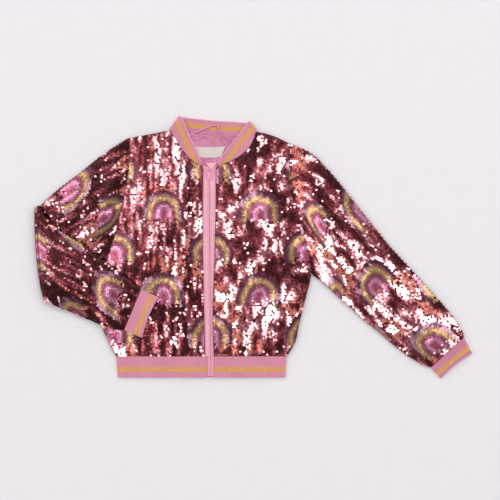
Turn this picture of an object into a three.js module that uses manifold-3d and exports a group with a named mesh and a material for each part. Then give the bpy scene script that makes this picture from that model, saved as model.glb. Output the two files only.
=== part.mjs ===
// A child's zip-up bomber jacket in sequinned cloth, laid out on its back with the front up.
// The wearer's right sleeve is folded over at the elbow and its cuff lies on the front. The left
// sleeve lies straight out. Collar, cuffs and hem band are ribbed knit. Sizes are in millimetres.
//
// Frame: +X is towards the wearer's left, +Y towards the neck and +Z up from the surface. The origin
// is on the flat underside of the back, below the middle of the zip.

import * as THREE from 'three';
import Module from 'manifold-3d';
import { mergeVertices } from 'three/addons/utils/BufferGeometryUtils.js';

// Driving dimensions.
const CLOTH = 2.4; // sequinned cloth with its backing, and doubled rib knit
const GAP = 0.3; // between neighbouring pieces
const ARMHOLE_GAP = 0.7; // the same, where two curved edges meet
const FLAT_TUBE = 2 * CLOTH + GAP; // height of an empty flattened tube
const SIDE_UNDER = CLOTH + GAP; // underside of a front where it meets the back's edge
const ZIP_UNDER = 4.2; // underside of a front along the zip and the neck
const FRONT_CROWN = 2.0; // how far a front swells between its edges
const SLEEVE_CROWN = 3.0;
const CUFF_CROWN = 1.2;
const CUFF_BOW = 3; // how far the middle of a cuff's free end draws in
const UPPER_ARM_CROWN = 2.2;
const NECK_GAP = 0.4;
const RIB_PITCH = 4.0;
const RIB_RAISE = 0.35;
const HEM_TOP = -142.2; // where the hem band starts, along Y
const HEM_BOTTOM = -176.5;
const HEM_TAPER = 0.984; // width of the band's free edge over that of its seam
const FOREARM_UNDER = 9.4; // underside of the folded forearm where it lies on other cloth
const LINING = 1.2;
const LABEL = 1.0;
const LABEL_GAP = 0.5; // the lining's folds pass below it
const LOOP = 1.2;
const LOOP_WIDTH = 3.4;
const TAPE = 1.0;
const BEAD_HALF = 2.5; // half width of the closed zip chain
const BEAD_RAISE = 0.8;

const table = (columns, rows) => rows.map(
  (row) => Object.fromEntries(columns.map((name, k) => [name, row[k]])),
);

// Each front, a row for each level from the hem to the shoulder: its edge at the zip and neck,
// and its edge at the side and the armhole.
const FRONT_COLUMNS = ['innerX', 'innerY', 'outerX', 'outerY'];
const FRONT_LEFT = table(FRONT_COLUMNS, [
  [5.0, -141.9, 124.6, -141.9],
  [4.1, -118.8, 138.6, -118.8],
  [3.3, -89.1, 145.2, -89.1],
  [3.6, -49.5, 155.1, -49.5],
  [5.8, 13.2, 165.0, -5.0],
  [7.4, 69.3, 157.6, 44.6],
  [8.3, 118.8, 144.4, 95.7],
  [8.3, 148.5, 135.3, 135.3],
  [10.5, 171.5, 130.8, 165.0],
  [31.4, 178.5, 129.5, 181.5],
  [51.2, 190.5, 129.3, 193.0],
  [66.0, 206.0, 129.6, 201.3],
  [74.3, 227.7, 130.4, 207.9],
]);
const FRONT_RIGHT = table(FRONT_COLUMNS, [
  [-9.9, -141.9, -155.9, -141.9],
  [-10.2, -118.8, -168.3, -118.8],
  [-10.9, -89.1, -180.5, -89.1],
  [-11.9, -49.5, -183.2, -49.5],
  [-13.2, 13.2, -174.9, 1.7],
  [-13.9, 69.3, -161.7, 47.9],
  [-13.5, 118.8, -148.5, 97.4],
  [-13.2, 148.5, -140.3, 138.6],
  [-14.5, 171.0, -135.3, 168.3],
  [-26.0, 177.0, -134.0, 186.5],
  [-38.0, 187.0, -134.0, 198.0],
  [-52.8, 206.3, -134.5, 207.9],
  [-66.0, 229.4, -135.3, 217.0],
]);
const UNDERARM_ROW = 4;
const ZIP_TOP_ROW = 8;

// The upper edge of the back, from one shoulder to the other.
const BACK_TOP = table(['x', 'y'], [
  [-135.3, 217.0],
  [-100.0, 224.0],
  [-66.0, 229.4],
  [-34.0, 224.5],
  [0.0, 221.5],
  [38.0, 223.0],
  [74.3, 227.7],
  [104.0, 220.5],
  [130.4, 207.9],
]);

// Gathers that run up from the hem band: where each starts, and its height, half width and length.
const GATHERS = table(['x', 'height', 'halfWidth', 'length'], [
  [-144, 1.3, 5.0, 24],
  [-126, 1.5, 5.5, 26],
  [-106, 1.3, 5.0, 30],
  [-85, 1.9, 5.5, 62],
  [-64, 1.6, 5.0, 46],
  [-44, 1.9, 6.0, 72],
  [-25, 1.2, 4.5, 38],
  [24, 1.3, 5.0, 40],
  [43, 1.7, 5.5, 58],
  [63, 1.4, 5.0, 36],
  [83, 1.8, 6.0, 60],
  [103, 1.3, 5.0, 32],
]);

// Soft folds, each a ridge from one point to another.
const FOLD_COLUMNS = ['fromX', 'fromY', 'toX', 'toY', 'height', 'halfWidth'];
const FRONT_FOLDS = table(FOLD_COLUMNS, [
  [-96, 196, -84, 96, 1.4, 11],
  [-54, 168, -44, 78, 1.2, 10],
  [112, 188, 62, 118, 1.5, 10],
  [140, 20, 72, 62, 1.3, 11],
  [132, -58, 60, -20, 1.2, 11],
]);
const LEFT_SLEEVE_FOLDS = table(FOLD_COLUMNS, [
  [168, 148, 206, 18, 2.0, 12],
  [233, 63, 262, -33, 1.8, 11],
  [309, 3, 284, -79, 2.0, 11],
  [345, -49, 318, -115, 1.7, 10],
  [384, -80, 352, -135, 1.8, 9],
]);
const UPPER_ARM_FOLDS = table(FOLD_COLUMNS, [
  [-163, 181, -184, 70, 1.4, 11],
  [-222, 138, -236, 78, 1.2, 10],
]);
const FOREARM_FOLDS = table(FOLD_COLUMNS, [
  [-250, 50, -224, -52, 2.0, 11],
  [-206, 25, -199, -70, 1.7, 10],
  [-163, -2, -172, -80, 1.8, 9],
  [-134, -28, -154, -90, 1.5, 7],
]);
const LINING_FOLDS = table(FOLD_COLUMNS, [
  [-7, 222, 8, 206, 2.2, 5],
  [-22, 219, 2, 221, 1.4, 5],
  [18, 218, 34, 210, 1.2, 6],
]);

// The straight sleeve, a row for each section from the armhole to the cuff.
const SLEEVE_COLUMNS = ['upperX', 'upperY', 'lowerX', 'lowerY'];
const LEFT_SLEEVE = table(SLEEVE_COLUMNS, [
  [130.4, 207.9, 165.0, -5.0],
  [166.7, 190.0, 174.5, -12.5],
  [198.0, 158.4, 185.0, -20.5],
  [245.9, 99.0, 206.3, -41.3],
  [293.7, 39.6, 229.4, -61.1],
  [330.0, 0.0, 250.8, -80.9],
  [361.4, -34.7, 275.6, -100.7],
  [387.8, -64.4, 300.3, -122.1],
  [404.3, -85.8, 325.0, -141.1],
  [413.3, -100.7, 346.5, -154.3],
  [416.3, -111.0, 362.5, -160.5],
]);
const LEFT_CUFF_END = { upperX: 430.5, upperY: -137.0, lowerX: 378.8, lowerY: -178.5 };

// The folded sleeve: the upper arm from the armhole to the elbow, then the forearm to the cuff.
// bow is how far the middle of a section lies outside the line between its ends.
const UPPER_ARM = table([...SLEEVE_COLUMNS, 'bow'], [
  [-135.8, 217.0, -174.6, 1.7, 0],
  [-176.6, 190.6, -203.0, -14.9, 0],
  [-216.2, 159.2, -229.4, -29.7, 0.5],
  [-255.8, 128.7, -254.1, -42.9, 2.0],
]);
const ELBOW = { upperX: -282.5, upperY: 104.5, lowerX: -268.5, lowerY: -52.5, bow: 4.5 };
// under is the underside's height at the lower edge, which droops from the share droopFrom across.
const FOREARM = table([...SLEEVE_COLUMNS, 'bow', 'under', 'droopFrom'], [
  [-262.4, 76.0, -252.5, -60.0, 3.0, 5.6, 0.8],
  [-232.7, 54.5, -226.0, -71.0, 0, 3.4, 0.6],
  [-199.7, 33.8, -199.7, -82.0, 0, 2.0, 0.42],
  [-170.0, 9.9, -176.6, -91.0, 0, 7.0, 0.5],
  [-140.3, -11.6, -158.4, -96.5, 0, 9.0, 0.5],
  [-114.7, -32.2, -142.4, -98.5, 0, 9.4, 0.5],
]);
const ELBOW_UNDER = 6.6;
const ELBOW_DROOP = 0.8;
const RIGHT_CUFF_END = { upperX: -85.8, upperY: -44.2, lowerX: -113.2, lowerY: -111.6 };

// The collar's upper edge, from the zip up to the fold at each shoulder, and across the back.
const COLLAR_RIGHT_EDGE = table(['x', 'y'], [
  [-14.5, 176.8],
  [-19.8, 188.1],
  [-26.4, 203.0],
  [-34.6, 221.1],
  [-42.0, 238.4],
  [-47.8, 251.6],
]);
const COLLAR_LEFT_EDGE = table(['x', 'y'], [
  [10.6, 176.9],
  [16.0, 185.6],
  [30.5, 204.6],
  [45.4, 223.6],
  [53.0, 233.5],
  [59.6, 242.4],
]);
const COLLAR_BACK_EDGE = table(['x', 'y'], [
  [-47.8, 251.6],
  [-23.1, 249.2],
  [6.6, 246.2],
  [36.3, 244.4],
  [59.6, 242.4],
]);
const COLLAR_SEAM_Z = ZIP_UNDER + CLOTH / 2; // middle of the band where it meets a front
const COLLAR_EDGE_Z = 8.0; // middle of the band at its raised upper edge
const COLLAR_END_Z = 6.2; // the same, at the zip

// The hanging loop inside the neck, along its middle.
const LOOP_PATH = table(['x', 'y'], [
  [-34.0, 227.6],
  [-20.0, 229.8],
  [-6.0, 235.2],
  [5.0, 238.6],
  [10.6, 237.8],
  [12.6, 232.6],
  [13.4, 226.0],
]);

// The zip: its middle line runs from the top to the bottom stop.
const ZIP_TOP = { x: -3.3, y: 170.0 };
const ZIP_BOTTOM = { x: 0.0, y: -175.0 };
const ZIP_IN_BAND = { right: -5.3, left: 4.8 }; // edges of what shows of it in the hem band

// The slider and its pull tab. Heights are above the surface the jacket lies on.
const PULL_AXIS = { y: 164.8, z: 8.5 };
const SLIDER = { bottom: 5.5, top: 7.5, halfTop: 4.2, halfBottom: 3.3, up: 5.4, down: 5.4 };
const SLIDER_CHANNEL = { half: 2.8, top: 6.3 };
const BAIL = { half: 0.7, inner: 1.1, outer: 1.9, under: 9.5, top: 10.3, root: 7.3, corner: 0.4 };
const PULL = {
  thickness: 1.0, bar: 0.5, eye: 3.0, shoulder: 3.6, eyeHalf: 1.1, topHalf: 2.3, endHalf: 3.2,
  length: 16.0, cornerDown: 3, cornerAcross: 2.4,
};
const GARAGE = {
  left: { x: -8.3, y: 176.4 }, right: { x: 9.6, y: 176.4 }, tip: { x: 0.9, y: 165.4 },
  tipHalf: 0.4, under: 7.8, thickness: 1.0,
};

// Colours.
const RIB_PINK = 0xda8aa6;
const SEQUIN_ROSE = 0xb98088;
const LINING_PINK = 0xcd7da5;
const TAPE_PINK = 0xf0a5b9;
const LABEL_CREAM = 0xe6dcd7;

const lerp = THREE.MathUtils.lerp;
const clamp = THREE.MathUtils.clamp;
const smooth = (x) => THREE.MathUtils.smoothstep(x, 0, 1);
const point = (x, y, z = 0) => new THREE.Vector3(x, y, z);

// A smooth curve through the rows of a table.
function curve(rows, x = 'x', y = 'y') {
  const points = rows.map((row) => point(row[x], row[y]));
  return new THREE.CatmullRomCurve3(points, false, 'centripetal');
}

// A closed wall between two grids of points of the same size. A ring joins its first and last rows.
function wall(outer, inner, ring = false) {
  const rows = outer.length;
  const steps = outer[0].length;
  const positions = [...outer.flat(), ...inner.flat()].flatMap((p) => [p.x, p.y, p.z]);
  const index = [];
  const quad = (a, b, c, d) => index.push(a, b, c, a, c, d);
  const out = (i, j) => (i % rows) * steps + j;
  const inn = (i, j) => rows * steps + out(i, j);
  for (let i = 0; i < (ring ? rows : rows - 1); i += 1) {
    for (let j = 0; j < steps - 1; j += 1) {
      quad(out(i, j), out(i + 1, j), out(i + 1, j + 1), out(i, j + 1));
      quad(inn(i, j), inn(i, j + 1), inn(i + 1, j + 1), inn(i + 1, j));
    }
    quad(out(i, 0), inn(i, 0), inn(i + 1, 0), out(i + 1, 0));
    quad(out(i, steps - 1), out(i + 1, steps - 1), inn(i + 1, steps - 1), inn(i, steps - 1));
  }
  if (!ring) {
    for (let j = 0; j < steps - 1; j += 1) {
      quad(out(0, j), out(0, j + 1), inn(0, j + 1), inn(0, j));
      quad(out(rows - 1, j), inn(rows - 1, j), inn(rows - 1, j + 1), out(rows - 1, j + 1));
    }
  }
  return facingOut(positions, index);
}

// The geometry with its faces turned so that the volume inside is positive.
function facingOut(positions, index) {
  const corner = (k) => point(...positions.slice(3 * k, 3 * k + 3));
  let volume = 0;
  for (let k = 0; k < index.length; k += 3) {
    const [a, b, c] = [corner(index[k]), corner(index[k + 1]), corner(index[k + 2])];
    volume += a.dot(b.cross(c));
  }
  const geometry = new THREE.BufferGeometry();
  geometry.setAttribute('position', new THREE.Float32BufferAttribute(positions, 3));
  geometry.setIndex(volume > 0 ? index : index.reverse());
  return geometry;
}

// A sheet of cloth over a plan, with the height of its underside given at each place.
function sheet(columns, rows, plan, under, thickness) {
  const top = [];
  const bottom = [];
  for (let i = 0; i <= columns; i += 1) {
    top.push([]);
    bottom.push([]);
    for (let j = 0; j <= rows; j += 1) {
      const u = i / columns;
      const v = j / rows;
      const place = plan(u, v);
      const height = under(u, v, place);
      bottom[i].push(point(place.x, place.y, height));
      top[i].push(point(place.x, place.y, height + thickness));
    }
  }
  return wall(top, bottom);
}

// The height that soft folds add at a place.
function foldHeight(folds, place) {
  let height = 0;
  for (const fold of folds) {
    const from = point(fold.fromX, fold.fromY);
    const run = point(fold.toX, fold.toY).sub(from);
    const along = point(place.x, place.y).sub(from).dot(run) / run.lengthSq();
    const foot = from.clone().addScaledVector(run, clamp(along, 0, 1));
    const away = foot.distanceTo(point(place.x, place.y)) / fold.halfWidth;
    const fade = Math.sin(Math.PI * clamp(along * 0.8 + 0.1, 0, 1));
    height += fold.height * fade * Math.exp(-away * away);
  }
  return height;
}

// The height that the gathers add above the hem band.
function gatherHeight(place) {
  const above = place.y - HEM_TOP - GAP;
  let height = 0;
  for (const gather of GATHERS) {
    const away = (place.x - gather.x) / gather.halfWidth;
    const start = smooth(above / 8);
    const end = 1 - smooth(above / gather.length);
    height += gather.height * start * end * Math.exp(-away * away);
  }
  return height;
}

// The underside of a front: u runs from the zip to the side, v from the hem to the shoulder.
function frontUnder(u, v, place) {
  const swell = Math.sin(Math.PI * u) * Math.sin(Math.PI * Math.min(1, v + 0.04));
  const edge = Math.sqrt(Math.max(0, Math.sin(Math.PI * u)));
  const level = Math.sin(Math.PI * v);
  const folds = foldHeight(FRONT_FOLDS, place) * level + gatherHeight(place);
  return lerp(ZIP_UNDER, SIDE_UNDER, u) + (v > 0 ? FRONT_CROWN * swell : 0) + folds * edge;
}

const edges = (rows) => ({
  inner: curve(rows, 'innerX', 'innerY'),
  outer: curve(rows, 'outerX', 'outerY'),
});
const leftEdges = edges(FRONT_LEFT);
const rightEdges = edges(FRONT_RIGHT);
const LEVELS = FRONT_LEFT.length - 1;
const ROWS_PER_LEVEL = 2;
const BODY_ROWS = ROWS_PER_LEVEL * LEVELS;
const BACK_COLUMNS = 8;
const FRONT_COLUMNS_ACROSS = 20;

function front({ inner, outer }) {
  const plan = (u, v) => inner.getPoint(v).lerp(outer.getPoint(v), u);
  return sheet(FRONT_COLUMNS_ACROSS, BODY_ROWS, plan, frontUnder, CLOTH);
}

// The back lies flat. Its rows bend up to the shoulders and neck towards the top.
function back() {
  const top = curve(BACK_TOP);
  const plan = (u, v) => {
    const right = rightEdges.outer.getPoint(v);
    const left = leftEdges.outer.getPoint(v);
    const place = right.clone().lerp(left, u);
    const shoulders = rightEdges.outer.getPoint(1).lerp(leftEdges.outer.getPoint(1), u);
    const bend = smooth((v - 0.7) / 0.3);
    return place.addScaledVector(top.getPoint(u).sub(shoulders), bend);
  };
  return sheet(BACK_COLUMNS, BODY_ROWS, plan, () => 0, CLOTH);
}

// A function from a share of the length to a point, along the part of a curve from t0 to t1. With
// few samples it follows the straight edges of a piece that is sampled at the same places.
function byLength(path, t0, t1, samples = 80) {
  const points = [];
  const lengths = [0];
  for (let k = 0; k <= samples; k += 1) {
    points.push(path.getPoint(lerp(t0, t1, k / samples)));
    if (k > 0) lengths.push(lengths[k - 1] + points[k].distanceTo(points[k - 1]));
  }
  return (share) => {
    const goal = clamp(share, 0, 1) * lengths[samples];
    let k = 1;
    while (k < samples && lengths[k] < goal) k += 1;
    const part = (goal - lengths[k - 1]) / (lengths[k] - lengths[k - 1]);
    return points[k - 1].clone().lerp(points[k], part);
  };
}

// The armhole from shoulder to underarm, moved out from the body by the gap.
function armhole(outerEdge, side) {
  const rows = ROWS_PER_LEVEL * (LEVELS - UNDERARM_ROW);
  const along = byLength(outerEdge, 1, UNDERARM_ROW / LEVELS, rows);
  return (w) => {
    const run = along(Math.min(1, w + 0.01)).sub(along(Math.max(0, w - 0.01))).normalize();
    return along(w).add(point(-run.y * side, run.x * side).multiplyScalar(ARMHOLE_GAP));
  };
}

// Shares across a tube's section, close together at its rounded edges.
const EDGE_STEP = 0.7; // first step in from the edge
const SIDE_SHARE = 0.07; // where the even steps start
function across(width, count) {
  const first = EDGE_STEP / width;
  const second = FLAT_TUBE / 2 / width;
  const evenly = (k) => lerp(SIDE_SHARE, 1 - SIDE_SHARE, k / count);
  const middle = Array.from({ length: count + 1 }, (_, k) => evenly(k));
  return [0, first, second, ...middle, 1 - second, 1 - first, 1];
}

// Places across a ribbed section: every second one is raised.
const RIBBED_EDGE_STEP = 0.9;
function ribbedAcross(width) {
  const first = RIBBED_EDGE_STEP / width;
  const second = FLAT_TUBE / 2 / width;
  const count = 2 * Math.round((width - FLAT_TUBE) / RIB_PITCH);
  const middle = Array.from({ length: count + 1 }, (_, k) => lerp(second, 1 - second, k / count));
  return [0, first, ...middle, 1 - first, 1];
}

// A flattened tube, open at both ends. A station has its middle line (a function of the share w
// across it), the direction its upper wall faces, its width and the swell of its two walls.
function tube(stations, shares, ribbed = false) {
  const half = FLAT_TUBE / 2;
  const last = shares.length - 1;
  const ring = [];
  for (let k = 0; k <= last; k += 1) ring.push({ k, side: 1 });
  for (let k = last - 1; k > 0; k -= 1) ring.push({ k, side: -1 });
  const outer = [];
  const inner = [];
  for (const { k, side } of ring) {
    outer.push([]);
    inner.push([]);
    for (const station of stations) {
      const w = shares[k];
      const fromEdge = Math.min(w, 1 - w) * station.width;
      const round = fromEdge < half ? Math.sqrt(1 - (1 - fromEdge / half) ** 2) : 1;
      const swell = side > 0 ? station.swell(w) : station.sag(w);
      const rib = ribbed && side > 0 && k > 1 && k < last - 1 && k % 2 === 1 ? RIB_RAISE : 0;
      const outwards = side * (half * round + swell + rib);
      outer.at(-1).push(station.middle(w).addScaledVector(station.facing, outwards));
      const inset = Math.max(fromEdge, CLOTH + 0.35 * Math.min(fromEdge, half)) / station.width;
      const w2 = w < 0.5 ? inset : 1 - inset;
      const room = half - CLOTH + (side > 0 ? station.swell(w2) : station.sag(w2));
      const inwards = side * room * (k === 0 || k === last ? 0 : round);
      inner.at(-1).push(station.middle(w2).addScaledVector(station.facing, inwards));
    }
  }
  return wall(outer, inner, true);
}

const UP = point(0, 0, 1);
const DOWN = point(0, 0, -1);

// The line across a section between its two ends, with its middle bowed out by the given vector.
function sectionLine(upper, lower, bow) {
  return (w) => upper.clone().lerp(lower, w).addScaledVector(bow, 4 * w * (1 - w));
}

const swellOf = (height, w) => height * Math.sin(Math.PI * clamp((w - 0.02) / 0.96, 0, 1)) ** 0.7;

// Sections of a straight or gently bent flattened sleeve that lies on the surface.
function flatStations(rows, count, opening, folds, crownAt) {
  const upper = curve(rows, 'upperX', 'upperY');
  const lower = curve(rows, 'lowerX', 'lowerY');
  const bows = rows.map((row) => row.bow ?? 0);
  const stations = [];
  for (let j = 0; j <= count; j += 1) {
    const s = j / count;
    const [a, b] = [upper.getPoint(s), lower.getPoint(s)];
    const step = Math.min(Math.floor(s * (rows.length - 1)), rows.length - 2);
    const bow = lerp(bows[step], bows[step + 1], s * (rows.length - 1) - step);
    const outwards = point(b.y - a.y, a.x - b.x).normalize();
    const line = sectionLine(a, b, outwards.multiplyScalar(bow));
    const first = sectionLine(upper.getPoint(0), lower.getPoint(0), point(0, 0));
    const pull = opening ? (1 - smooth(s / 0.45)) : 0;
    const middle = (w) => {
      const place = line(w);
      if (pull > 0) place.add(opening(w).sub(first(w)).multiplyScalar(pull));
      return place.setZ(FLAT_TUBE / 2);
    };
    const swell = (w) => swellOf(crownAt(s), w)
      + foldHeight(folds, line(w)) * smooth(crownAt(s)) * swellOf(1, w);
    stations.push({ middle, facing: UP, width: a.distanceTo(b), swell, sag: () => 0 });
  }
  return stations;
}

function sleeveLeft() {
  const crown = (s) => SLEEVE_CROWN * smooth(s / 0.12) * (1 - 0.75 * smooth((s - 0.86) / 0.14));
  const opening = armhole(leftEdges.outer, 1);
  const stations = flatStations(LEFT_SLEEVE, 15, opening, LEFT_SLEEVE_FOLDS, crown);
  return tube(stations, across(130, 7));
}

// The folded sleeve goes out flat, turns over at the elbow and comes back over itself.
function sleeveRight() {
  const half = FLAT_TUBE / 2;
  const opening = armhole(rightEdges.outer, -1);
  const crown = (s) => UPPER_ARM_CROWN * smooth(s / 0.2) * (1 - smooth((s - 0.8) / 0.2));
  const rows = [...UPPER_ARM, ELBOW];
  const upperArm = flatStations(rows, 6, opening, UPPER_ARM_FOLDS, crown);

  const top = point(ELBOW.upperX, ELBOW.upperY);
  const bottom = point(ELBOW.lowerX, ELBOW.lowerY);
  const out = point(bottom.y - top.y, top.x - bottom.x).normalize();
  const elbowLine = sectionLine(top, bottom, out.clone().multiplyScalar(ELBOW.bow));
  const turn = [];
  for (const degrees of [36, 72, 108, 144]) {
    const angle = THREE.MathUtils.degToRad(degrees);
    const facing = UP.clone().multiplyScalar(Math.cos(angle));
    facing.addScaledVector(out, -Math.sin(angle));
    const middle = (w) => {
      const radius = droop(w, ELBOW_UNDER, ELBOW_DROOP) / 2;
      return elbowLine(w).setZ(half + radius).addScaledVector(facing, -radius);
    };
    turn.push({ middle, facing, width: top.distanceTo(bottom), swell: () => 0, sag: () => 0 });
  }

  const forearm = forearmStations(9);
  return tube([...upperArm, ...turn, ...forearm], across(140, 7));
}

// The height of the forearm's underside across a section: it droops towards the lower edge.
function droop(w, under, from) {
  return lerp(FOREARM_UNDER, under, smooth((w - from) / (1 - from)));
}

function forearmStations(count) {
  const rows = [{ ...ELBOW, under: ELBOW_UNDER, droopFrom: ELBOW_DROOP }, ...FOREARM];
  const upper = curve(rows, 'upperX', 'upperY');
  const lower = curve(rows, 'lowerX', 'lowerY');
  const stations = [];
  for (let j = 0; j <= count; j += 1) {
    const s = (j / count) * (rows.length - 1);
    const step = Math.min(Math.floor(s), rows.length - 2);
    const value = (name) => lerp(rows[step][name], rows[step + 1][name], s - step);
    const [a, b] = [upper.getPoint(j / count), lower.getPoint(j / count)];
    const out = point(b.y - a.y, a.x - b.x).normalize();
    const line = sectionLine(a, b, out.multiplyScalar(value('bow')));
    const middle = (w) => {
      const under = droop(w, value('under'), value('droopFrom'));
      return line(w).setZ(under + FLAT_TUBE / 2);
    };
    const share = j / count;
    const crown = SLEEVE_CROWN * smooth(share / 0.3) * (1 - 0.7 * smooth((share - 0.8) / 0.2));
    const sag = (w) => swellOf(crown, w)
      + foldHeight(FOREARM_FOLDS, line(w)) * smooth(crown) * swellOf(1, w);
    stations.push({ middle, facing: DOWN, width: a.distanceTo(b), swell: () => 0, sag });
  }
  return stations;
}

// A ribbed cuff from just past the end of its sleeve to its own free end.
function cuff(start, end, under) {
  const ends = (row) => ({
    upper: point(row.upperX, row.upperY),
    lower: point(row.lowerX, row.lowerY),
  });
  const from = ends(start);
  const to = ends(end);
  const run = from.lower.clone().sub(from.upper);
  const outwards = point(-run.y, run.x).normalize();
  if (outwards.dot(to.upper.clone().sub(from.upper)) < 0) outwards.negate();
  from.upper.addScaledVector(outwards, GAP);
  from.lower.addScaledVector(outwards, GAP);
  const stations = [0, 1].map((s) => {
    const a = from.upper.clone().lerp(to.upper, s);
    const b = from.lower.clone().lerp(to.lower, s);
    const line = sectionLine(a, b, outwards.clone().multiplyScalar(-CUFF_BOW * s * s));
    const middle = (w) => line(w).setZ(under + FLAT_TUBE / 2);
    const swell = (w) => swellOf(CUFF_CROWN, w);
    return { middle, facing: UP, width: a.distanceTo(b), swell, sag: () => 0 };
  });
  return tube(stations, ribbedAcross(stations[0].width), true);
}

// Points spaced evenly along a band that is given by its two edges.
function resample(stations, spacing) {
  const middles = stations.map(({ seam, edge }) => seam.clone().lerp(edge, 0.5));
  const lengths = [0];
  for (let k = 1; k < middles.length; k += 1) {
    lengths.push(lengths[k - 1] + middles[k].distanceTo(middles[k - 1]));
  }
  const total = lengths.at(-1);
  const count = 2 * Math.round(total / spacing / 2);
  const even = [];
  let k = 1;
  for (let i = 0; i <= count; i += 1) {
    const goal = (total * i) / count;
    while (k < middles.length - 1 && lengths[k] < goal) k += 1;
    const part = (goal - lengths[k - 1]) / (lengths[k] - lengths[k - 1]);
    even.push({
      seam: stations[k - 1].seam.clone().lerp(stations[k].seam, part),
      edge: stations[k - 1].edge.clone().lerp(stations[k].edge, part),
    });
  }
  return even;
}

// The collar: up one front, over at the shoulder, across the back, over again and down.
const COLLAR_STEPS = 24;
function collar() {
  const frontPart = (panelEdge, edgeTable, side) => {
    const rows = ROWS_PER_LEVEL * (LEVELS - ZIP_TOP_ROW);
    const seamAt = byLength(panelEdge, ZIP_TOP_ROW / LEVELS, 1, rows);
    const edgeAt = byLength(curve(edgeTable), 0, 1);
    const part = [];
    for (let k = 0; k <= COLLAR_STEPS; k += 1) {
      const share = k / COLLAR_STEPS;
      const run = seamAt(Math.min(1, share + 0.02)).sub(seamAt(Math.max(0, share - 0.02)));
      const inwards = point(-run.y, run.x).normalize().multiplyScalar(side * NECK_GAP);
      const lift = smooth(share / 0.35);
      part.push({
        seam: seamAt(share).add(inwards).setZ(COLLAR_SEAM_Z),
        edge: edgeAt(share).setZ(lerp(COLLAR_END_Z, COLLAR_EDGE_Z, lift)),
      });
    }
    return part;
  };
  const backSeam = byLength(curve(BACK_TOP), 1 / 4, 3 / 4, BACK_COLUMNS / 2);
  const backEdge = byLength(curve(COLLAR_BACK_EDGE), 0, 1);
  const backPart = [];
  for (let k = 0; k <= COLLAR_STEPS; k += 1) {
    const share = k / COLLAR_STEPS;
    backPart.push({
      seam: backSeam(share).add(point(0, NECK_GAP)).setZ(CLOTH / 2),
      edge: backEdge(share).setZ(CLOTH / 2),
    });
  }
  const turn = (above, below) => {
    const along = below.edge.clone().sub(below.seam).normalize();
    const side = Math.sign(above.seam.x);
    const out = point(along.y * side, -along.x * side);
    return [30, 60, 90, 120, 150].map((degrees) => {
      const angle = THREE.MathUtils.degToRad(degrees);
      const around = (high, low) => {
        const radius = (high.z - low.z) / 2;
        return high.clone().lerp(low, (1 - Math.cos(angle)) / 2)
          .addScaledVector(out, radius * Math.sin(angle));
      };
      return { seam: around(above.seam, below.seam), edge: around(above.edge, below.edge) };
    });
  };
  const rightPart = frontPart(rightEdges.inner, COLLAR_RIGHT_EDGE, -1);
  const leftPart = frontPart(leftEdges.inner, COLLAR_LEFT_EDGE, 1);
  const path = [
    ...rightPart,
    ...turn(rightPart.at(-1), backPart[0]),
    ...backPart,
    ...turn(leftPart.at(-1), backPart.at(-1)).reverse(),
    ...leftPart.reverse(),
  ];
  return band(resample(path, RIB_PITCH / 2));
}

// A band of even thickness between two edges. Its outer side has ribs where it faces up.
function band(stations) {
  const outer = [];
  const inner = [];
  stations.forEach((station, i) => {
    const before = stations[Math.max(0, i - 1)];
    const after = stations[Math.min(stations.length - 1, i + 1)];
    const run = after.seam.clone().add(after.edge).sub(before.seam).sub(before.edge);
    const inside = run.cross(station.edge.clone().sub(station.seam)).normalize();
    const rib = i % 2 === 1 && inside.z < 0 ? RIB_RAISE : 0;
    const pair = [station.seam, station.edge];
    outer.push(pair.map((p) => p.clone().addScaledVector(inside, -CLOTH / 2 - rib)));
    inner.push(pair.map((p) => p.clone().addScaledVector(inside, CLOTH / 2)));
  });
  return wall(outer, inner);
}

// The hem band is a flattened ring, open at the zip, with ribs on its front.
const HEM_BACK_STEPS = 12;
const HEM_STRAIGHT = 8; // beside the zip, where the band doesn't taper
function hemBand() {
  const zipEnds = { right: ZIP_IN_BAND.right - GAP, left: ZIP_IN_BAND.left + GAP };
  const sides = { right: FRONT_RIGHT[0].outerX, left: FRONT_LEFT[0].outerX };
  const path = [];
  const half = FLAT_TUBE / 2;
  const topRun = (from, to) => {
    const reach = Math.abs(to - from) - half;
    const count = 2 * Math.round(reach / RIB_PITCH);
    const run = [];
    for (let k = 0; k <= count; k += 1) {
      const share = k / count;
      const x = from + Math.sign(to - from) * reach * share;
      const under = lerp(ZIP_UNDER, SIDE_UNDER, share);
      const rib = k % 2 === 1 ? RIB_RAISE : 0;
      run.push({ x, xIn: x, z: under + CLOTH + rib, zIn: under });
    }
    return run;
  };
  const sideTurn = (side, centre) => [60, 90, 120].map((degrees) => {
    const angle = THREE.MathUtils.degToRad(degrees);
    const away = side * Math.sin(angle);
    const rise = Math.cos(angle);
    const small = half - CLOTH;
    return {
      x: centre + half * away,
      xIn: centre + small * away,
      z: half + half * rise,
      zIn: half + small * rise,
    };
  });
  path.push(...topRun(zipEnds.right, sides.right));
  path.push(...sideTurn(-1, sides.right + half));
  for (let k = 0; k <= HEM_BACK_STEPS; k += 1) {
    const x = lerp(sides.right + half, sides.left - half, k / HEM_BACK_STEPS);
    path.push({ x, xIn: x, z: 0, zIn: CLOTH });
  }
  path.push(...sideTurn(1, sides.left - half).reverse());
  path.push(...topRun(zipEnds.left, sides.left).reverse());
  const levels = [{ y: HEM_TOP, size: 1 }, { y: HEM_BOTTOM, size: HEM_TAPER }];
  const taper = (x, size) => (Math.abs(x) < HEM_STRAIGHT ? x : x * size);
  const outer = path.map(({ x, z }) => levels.map(({ y, size }) => point(taper(x, size), y, z)));
  const inner = path.map(({ xIn, zIn }) => levels.map(
    ({ y, size }) => point(taper(xIn, size), y, zIn),
  ));
  return wall(outer, inner);
}

// The lining shows only at the back of the neck.
const LINING_PLAN = { topY: 220.6, bottomY: 168, topHalf: 52, bottomHalf: 24, centre: 2 };

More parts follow.
